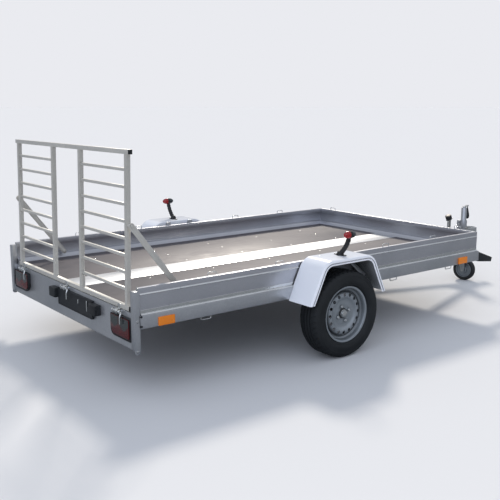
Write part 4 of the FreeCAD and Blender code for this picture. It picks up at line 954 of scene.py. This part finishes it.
def make_tail_lamp(side_name, side):
    """A rounded tray, a red lens and two clear shields."""
    near = lamps_high.y - TAIL_WIDE
    far = lamps_high.y
    back = lamps_low.x

    def low_inner(a, b):
        """The long corner edge at the lamp's lower inner end."""
        return along(0)(a, b) and abs(a.y) < (near + far) / 2 and a.z < (TAIL_LOW + TAIL_HIGH) / 2

    def other_corners(a, b):
        return along(0)(a, b) and not low_inner(a, b)

    def top_and_outer(a, b):
        return along(0)(a, b) and (a.z > TAIL_HIGH - MM or abs(a.y) > far - MM)

    tray = box_piece("tail_lamp_tray_" + side_name, (back + 2.5 * MM, near * side, TAIL_LOW),
                     (BEAM_FACE, far * side, TAIL_HIGH))
    bevel_edges(tray, low_inner, 40 * MM, 8)
    bevel_edges(tray, top_and_outer, 12 * MM, 5)
    follow_beam(tray)
    sink_back(tray, 4 * MM)
    round_edges(tray, 1.0 * MM)
    keep(tray, "chassis", "black_plastic", replaced=["tail_lamps"])
    lens_piece = box_piece("tail_lamp_lens_" + side_name,
                           (back + 0.5 * MM, (near + 6 * MM) * side, TAIL_LOW + 12 * MM),
                           (back + 8 * MM, (far - 20 * MM) * side, TAIL_HIGH - 6 * MM))
    bevel_edges(lens_piece, low_inner, 36 * MM, 8)
    bevel_edges(lens_piece, other_corners, 8 * MM, 4)
    round_edges(lens_piece, 1.5 * MM, 3)
    keep(lens_piece, "chassis", "lamp_red")
    top = TAIL_HIGH - 9 * MM
    shields = []
    for start, end, dip, low in SHIELDS:
        edge = [(start, top), (end, top), (end, 392 * MM), (dip, low * MM), (start, 388 * MM)]
        points = [(back + 0.6 * MM, (near + u * MM) * side, v) for u, v in edge]
        shields.append(prism("shield", points, (-0.6 * MM, 0, 0)))
    keep(gathered("tail_lamp_clear_" + side_name, shields), "chassis", "lamp_red", dark_grey_lens, angle=None)


for side_name, side in SIDES:
    make_tail_lamp(side_name, side)

# %% Plate holder and its lights
plate_low, plate_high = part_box("plate_holder")
LIGHT_WIDE = 84 * MM
LIGHT_LOW = 376 * MM
LIGHT_HIGH = 439 * MM
BOARD_RIGHT = -365 * MM
BOARD_LEFT = 112 * MM
BOARD_BACK = cad_low.x + 25 * MM
# a clip: its place across the trailer, its low and its high end, in millimetres
CLIPS = ((-298, 372, 436), (-181, 396, 422))
board = box_piece("plate_holder_tray", (BOARD_BACK, BOARD_RIGHT, plate_low.z),
                  (BEAM_FACE, BOARD_LEFT, plate_high.z))
bevel_edges(board, along(0), 6 * MM, 3)
follow_beam(board)
sink_back(board, 5 * MM)
round_edges(board, 0.8 * MM)
keep(board, "chassis", "black_plastic", replaced=["plate_holder"])
for light_name, start in (("left", BOARD_LEFT), ("right", BOARD_RIGHT - LIGHT_WIDE)):
    light_box = box_piece("plate_light_" + light_name, (plate_low.x, start, LIGHT_LOW),
                          (BEAM_FACE, start + LIGHT_WIDE, LIGHT_HIGH))
    round_edges(light_box, 6 * MM, 4)
    keep(light_box, "chassis", "black_plastic")
clips = []
for place, low_z, high_z in CLIPS:
    clip = box_piece("clip", (BOARD_BACK - 2.5 * MM, (place - 5) * MM, low_z * MM),
                     (BOARD_BACK + 4 * MM, (place + 5) * MM, high_z * MM))
    round_edges(clip, 2.0 * MM, 3)
    clips.append(clip)
keep(gathered("plate_clips", clips), "chassis", "zinc_bright")

# %% [markdown]
# ## Reflectors, pins and loops
# A reflector is a thin slab of orange prisms with a bevelled rim. The gate hangs on three
# round pins, each bent down at its right-hand end so that it can be pulled out by hand.
# The lashing loops and the rope hooks are wire staples, and so are drawn as bent lines.

# %% Side reflectors
reflectors_low, reflectors_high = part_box("side_reflectors")
REFLECTOR_LONG = 105 * MM
reflector_pieces = []
for side_name, side in SIDES:
    for start in (reflectors_low.x, reflectors_high.x - REFLECTOR_LONG):
        face = reflectors_high.y * side
        plate = box_piece("reflector", (start, face - 8 * MM * side, reflectors_low.z),
                          (start + REFLECTOR_LONG, face - 1 * MM * side, reflectors_high.z))
        bevel_edges(plate, along(1), 4 * MM, 3)
        pick_faces(plate, lambda p, n: n.y * side > 0.9)
        bpy.ops.mesh.inset(thickness=3 * MM)
        bpy.ops.transform.translate(value=(0, 1 * MM * side, 0))
        leave_faces()
        reflector_pieces.append(plate)
reflector_set = gathered("side_reflector_prisms", reflector_pieces)
round_edges(reflector_set, 0.5 * MM)
keep(reflector_set, "chassis", "reflector_orange", replaced=["side_reflectors"])

# %% Hinge pins
PIN_HEIGHT = 462 * MM
PIN_X = cad_low.x + 18 * MM
PIN_RADIUS = 5.2 * MM
# a pin's line: back from the hinge's middle, to the left of it, and below it, in millimetres
PIN_ROWS = ((0, 46, 0), (0, -46, 0), (5, -57, 6), (11, -57, 24), (11, -57, 62))
hinge_pins = []
for place in (684, 0, -684):
    y = place * MM
    points = [(PIN_X - back * MM, y + left * MM, PIN_HEIGHT - below * MM) for back, left, below in PIN_ROWS]
    hinge_pins.append(wire("pin", points, PIN_RADIUS, 6 * MM))
    for ring_at in (y + 40 * MM, y - 38 * MM):
        hinge_pins.append(added(
            bpy.ops.mesh.primitive_torus_add, major_radius=10 * MM, minor_radius=2.4 * MM, major_segments=24,
            minor_segments=8, location=(PIN_X, ring_at, PIN_HEIGHT), rotation=(math.pi / 2, 0, 0.3)))
keep(gathered("hinge_pins", hinge_pins), "chassis", "zinc_bright", angle=45)

# %% Lashing loops and rope hooks
LOOP_HALF = 29 * MM
LOOP_TALL = 21 * MM
HOOK_HALF = 34 * MM
HOOK_DEEP = 18 * MM
LOOP_WIRE = 2.6 * MM
HOOK_WIRE = 3.0 * MM


def make_staples(node_name, spots, run, half, rise, radius):
    """One node's staples, wires bent to a U: run goes along a staple and rise away from the metal."""
    run, rise = Vector(run), Vector((0, 0, rise))
    sunk = rise.normalized() * -3 * MM
    pieces = []
    for spot in spots:
        near, far = Vector(spot) - run * half, Vector(spot) + run * half
        pieces.append(wire("staple", [near + sunk, near + rise, far + rise, far + sunk], radius, 8 * MM))
    keep(gathered(node_name + "_wire", pieces), BODY_OF[node_name], SLOT_OF[node_name],
         replaced=[node_name], angle=45)
LOOP_X = (-1578 * MM, -1073 * MM, -115 * MM, 390 * MM)
HOOK_X = (-1638 * MM, -48 * MM, 562 * MM)
rim_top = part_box("front_panel")[1].z
rail_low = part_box("side_rails")[0].z
for side_name, side in SIDES:
    make_staples("lashing_loops_" + side_name, [(x, 864 * MM * side, rim_top) for x in LOOP_X],
                 (1, 0, 0), LOOP_HALF, LOOP_TALL, LOOP_WIRE)
make_staples("lashing_loops_front", [(901 * MM, 700 * MM * side, rim_top) for name, side in SIDES],
             (0, 1, 0), LOOP_HALF, LOOP_TALL, LOOP_WIRE)
make_staples("rope_hooks", [(x, 885 * MM * side, rail_low) for x in HOOK_X for name, side in SIDES],
             (1, 0, 0), HOOK_HALF, -HOOK_DEEP, HOOK_WIRE)

# %% [markdown]
# ## Hems of the side panels
# Each side panel carries a folded hem a little below its rim, and a foot that lies on the
# rail and sheds water. Both are drawn as a section at the rear and pulled forward. A small
# plug closes the rear end of the rim.

# %% Panel hems, feet and rim plugs
panel_low, panel_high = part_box("side_panel_right")
PANEL_BACK, PANEL_FRONT, RIM_TOP = panel_low.x, panel_high.x, panel_high.z
POST_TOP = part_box("end_posts")[1].z
HEM_BACK = PANEL_BACK + 6 * MM
HEM_FRONT = PANEL_FRONT - 3 * MM
HEM_SPLIT = PANEL_BACK + 266 * MM
# distance out from the panel and height, in millimetres
HEM_ROWS = ((0.2, 579), (3.6, 580), (4.8, 582), (4.2, 584.5), (0.2, 590))
FOOT_ROWS = ((0.2, 471), (13.6, 470.4), (14.6, 472), (14.0, 475), (8.6, 480), (1.6, 481), (3.2, 496),
             (2.2, 498.5), (0.2, 499))
STRIPS = ((HEM_ROWS, HEM_SPLIT, HEM_FRONT), (HEM_ROWS, HEM_BACK, HEM_SPLIT - 5 * MM),
          (FOOT_ROWS, HEM_BACK, HEM_FRONT))
for side_name, side in SIDES:
    hems = [prism("hem", [(start, (PANEL_FACE + out * MM) * side, z * MM) for out, z in rows],
                  (end - start, 0, 0)) for rows, start, end in STRIPS]
    plug = box_piece("plug", (PANEL_BACK - 1.5 * MM, (PANEL_FACE - 23.4 * MM) * side, POST_TOP + 0.6 * MM),
                     (PANEL_BACK + 3 * MM, (PANEL_FACE - 0.6 * MM) * side, RIM_TOP - 0.6 * MM))
    bevel_edges(plug, along(0), 2 * MM, 3)
    hem_set = gathered("panel_hems_" + side_name, hems + [plug])
    # The hems and feet take the bright plated finish, not the sheet's own: their paler colour is a painted
    # highlight along the folds.
    keep(hem_set, "chassis", "zinc_sheet", bright_plated_zinc_and_hem_highlight, angle=40)

# %% [markdown]
# ## Sill strips along the floor
# Inside, a sloping strip closes the corner between the floor boards and each panel's foot.
# Its section is nearly a triangle, pulled along the two sides and across the front.

# %% The sill strips
floor_start, floor_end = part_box("floor_boards")[0].x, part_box("floor_boards")[1].x
FRONT_HALF = PANEL_FACE - 40 * MM
# distance in from the panel's outer face and height, in millimetres
SILL_ROWS = ((38.1, 482.1), (38.1, 508.6), (39.4, 509.4), (41.6, 508.8), (57.6, 484.4), (58, 482.1))
sills = []
for start, inward, pull in (
        ((floor_start, PANEL_FACE, 0), (0, -1, 0), (floor_end - floor_start, 0, 0)),
        ((floor_start, -PANEL_FACE, 0), (0, 1, 0), (floor_end - floor_start, 0, 0)),
        ((PANEL_FRONT, -FRONT_HALF, 0), (-1, 0, 0), (0, 2 * FRONT_HALF, 0))):
    points = [Vector(start) + Vector(inward) * depth * MM + Vector((0, 0, z * MM)) for depth, z in SILL_ROWS]
    sills.append(prism("sill", points, pull))
keep(gathered("panel_sills", sills), "chassis", "zinc_sheet", rolled_zinc_sheet, angle=30)

# %% [markdown]
# ## Bolts, rivets and screws
# Two kinds of pattern serve for all of them: a hexagon head with a chamfer, and a domed head
# for rivets and screws. Each is modelled once at the origin and copied to its places.

# %% Patterns of heads
WASHER = 1.6 * MM


def hex_pattern(radius, tall):
    """A hexagon bolt head on a washer, standing on the origin."""
    washer = added(bpy.ops.mesh.primitive_cylinder_add, vertices=24, radius=radius * 1.35, depth=WASHER,
                   location=(0, 0, WASHER / 2))
    round_edges(washer, 0.4 * MM, 1)
    head = added(bpy.ops.mesh.primitive_cylinder_add, vertices=6, radius=radius, depth=tall,
                 location=(0, 0, WASHER + tall / 2))
    round_edges(head, 0.12 * radius)
    return gathered("hex_pattern", [head, washer])


def dome_pattern(radius, tall):
    """A round head, half of a flattened ball, standing on the origin."""
    head = added(bpy.ops.mesh.primitive_uv_sphere_add, segments=20, ring_count=12, radius=radius)
    edit(head)
    bpy.ops.mesh.bisect(plane_co=(0, 0, 0), plane_no=(0, 0, 1), use_fill=True, clear_inner=True)
    bpy.ops.mesh.select_all(action="SELECT")
    bpy.ops.transform.resize(value=(1, 1, tall / radius), center_override=(0, 0, 0))
    leave_edit()
    return head


def beside(xs, out, heights):
    """Places on both outer faces, each with its outward direction; xs and heights in millimetres."""
    return [((x * MM, out * side, z * MM), (0, side, 0)) for name, side in SIDES for x in xs for z in heights]


# %% Heads on the chassis
small_hex = hex_pattern(7 * MM, 5 * MM)
large_hex = hex_pattern(10 * MM, 7 * MM)
rivet = dome_pattern(5 * MM, 2.2 * MM)
screw = dome_pattern(6.5 * MM, 1.4 * MM)
UP = (0, 0, 1)
floor_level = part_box("floor_boards")[1].z
on_floor = [(((-1578 + 500 * number) * MM, y * MM, floor_level), UP)
            for number in range(5) for y in (-620, -420, -168, 168, 420, 620)]
on_panels = beside((-1800, -1300, -150, 350, 800), PANEL_FACE, [583])
on_panels += beside((-1747, -1247, -200, 300, 780), PANEL_FACE, [489])
on_fenders = [((x * MM, 915 * MM * side, 648 * MM), UP) for name, side in SIDES for x in (-786, -576)]
on_ears = [((-672 * MM, (983 * side + reach) * MM, 653 * MM), UP)
           for name, side in SIDES for reach in (-39, 39)]
for name, pattern, places, slot in (
        ("rail_end_bolts", small_hex, beside([-2060], RAIL_FACE, (464, 410)), "black_plastic"),
        ("floor_screws", screw, on_floor, "zinc_bright"),
        ("panel_rivets", rivet, on_panels, "zinc_sheet"),
        ("fender_bolts", rivet, on_fenders, "zinc_bright"),
        ("marker_foot_screws", rivet, on_ears, "zinc_bright"),
        ("post_bolts", large_hex, beside([-2084], 886 * MM, (440, 272)), "zinc_bright")):
    keep(copies_of(pattern, name, places), "chassis", slot, angle=40)
for pattern in (small_hex, large_hex, rivet, screw):
    bpy.data.objects.remove(pattern)

# %% [markdown]
# ## Jockey wheel grip and fender stays
# The crank's grip is a turned shape like a leaf: thin where it leaves the crank, fullest
# two thirds of the way along and rounded at the end. Under each fender, two flat stays run
# from the chassis to the fender's legs.

# %% Grip
grip_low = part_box("jockey_grip")[0]
grip_mid = centre_of("jockey_grip")
# height above the grip's lower end, and radius, in millimetres
GRIP_ROWS = ((0, 0), (0, 6), (3, 11), (8, 15.5), (16, 18.5), (28, 19), (42, 17.5), (60, 14), (78, 10),
             (94, 6.5), (105, 4), (107, 0))
grip_points = [(grip_mid.x + r * MM, grip_mid.y, grip_low.z + h * MM) for h, r in GRIP_ROWS]
grip = turn_round(drawn("jockey_grip_leaf", grip_points), grip_mid, (0, 0, 1), 28)
keep(grip, BODY_OF["jockey_grip"], "black_plastic", replaced=["jockey_grip"], angle=50)

# %% Fender stays
STAY_WIDE = 26 * MM
STAY_THICK = 4 * MM
for side_name, side in SIDES:
    axle_x = centre_of("fender_" + side_name).x
    stays = []
    for way in (1, -1):
        high_end = Vector((axle_x + 150 * MM * way, 893 * MM * side, 612 * MM))
        low_end = Vector((axle_x + 262 * MM * way, 960 * MM * side, 478 * MM))
        half = Vector((0, 1, 0)).cross(low_end - high_end).normalized() * STAY_WIDE / 2
        stays.append(prism("stay", [high_end + half, high_end - half, low_end - half, low_end + half],
                           (0, STAY_THICK * side, 0)))
    pair = gathered("fender_stays_" + side_name, stays)
    round_edges(pair, 0.8 * MM)
    keep(pair, "chassis", "zinc_frame")
# %% Nodes that keep their plain solid take their finish as it is
for node_name, node in NODES.items():
    node.data.materials.clear()
    node.data.materials.append(FINISH[SLOT_OF[node_name]])

# %% [markdown]
# ## Light, floor and camera
# A pale floor and a soft sky show form without hard glare. The floor runs so far that it
# meets a backdrop of its own colour, and no horizon shows. Polished metal is a mirror,
# so the floor is darker in reflections than it looks, and the sky grows brighter with
# height: that gives the zinc its depth. A warm sun stands ahead of the trailer on its left
# and throws the shadow to the near side, and a broad weak one fills from behind.

# %% Floor and sky
BACKDROP = "#EAEBF0"
floor = added(bpy.ops.mesh.primitive_plane_add, "studio_floor", size=2000, location=(0, 0, 0))
floor_paint, tree, shader = new_material("pale_floor_paint")
rays = add_node(tree, "ShaderNodeLightPath")
set_sockets(tree, shader, {
    "Base Color": blended(tree, rays.outputs["Is Glossy Ray"], "#E6E7E8", "#84888C"),
    "Roughness": 0.9,
    "Specular IOR Level": 0.0,
})
floor.data.materials.append(floor_paint)

sky = bpy.data.worlds.new("soft_sky")
bpy.context.scene.world = sky
sky.use_nodes = True
tree = sky.node_tree
tree.nodes.clear()
rays = add_node(tree, "ShaderNodeLightPath")
direction = add_node(tree, "ShaderNodeTexCoord").outputs["Generated"]
rise = add_node(tree, "ShaderNodeSeparateXYZ", {0: direction}).outputs["Z"]
daylight = add_node(tree, "ShaderNodeBackground", {
    "Color": tint("#E6ECF8"), "Strength": ranged(tree, rise, 0.24, 0.68, 0.0, 0.5)})
backdrop = add_node(tree, "ShaderNodeBackground", {"Color": tint(BACKDROP), "Strength": 1.0})
both = add_node(tree, "ShaderNodeMixShader", {0: rays.outputs["Is Camera Ray"], 1: daylight.outputs[0],
                                              2: backdrop.outputs[0]})
add_node(tree, "ShaderNodeOutputWorld", {"Surface": both.outputs[0]})


# %% Lamps
def hang(name, kind, place, target=(0, 0, 0.4), **settings):
    """A lamp of a kind that faces the target."""
    light = bpy.data.lights.new(name, kind)
    for key, value in settings.items():
        setattr(light, key, value)
    holder = bpy.data.objects.new(name, light)
    holder.location = place
    holder.rotation_euler = (Vector(target) - Vector(place)).to_track_quat("-Z", "Y").to_euler()
    bpy.context.scene.collection.objects.link(holder)


hang("sun", "SUN", (4.0, 5.0, 5.4), energy=2.2, angle=math.radians(9), color=tint("#FFF6EA")[:3])
hang("fill", "SUN", (-6.5, -4.5, 4.0), energy=0.9, angle=math.radians(70), color=tint("#DFE9FF")[:3])

# %% Camera
scene = bpy.context.scene
scene.view_settings.view_transform = "Standard"
lens_data = bpy.data.cameras.new("camera")
lens_data.lens = 54.06
lens_data.sensor_width = 36.0
camera = bpy.data.objects.new("camera", lens_data)
camera.location = (-3.988, -4.302, 1.573)
camera.rotation_euler = (math.radians(90 - 10.85), 0.0, math.radians(52.007 - 90))
scene.collection.objects.link(camera)
scene.camera = camera
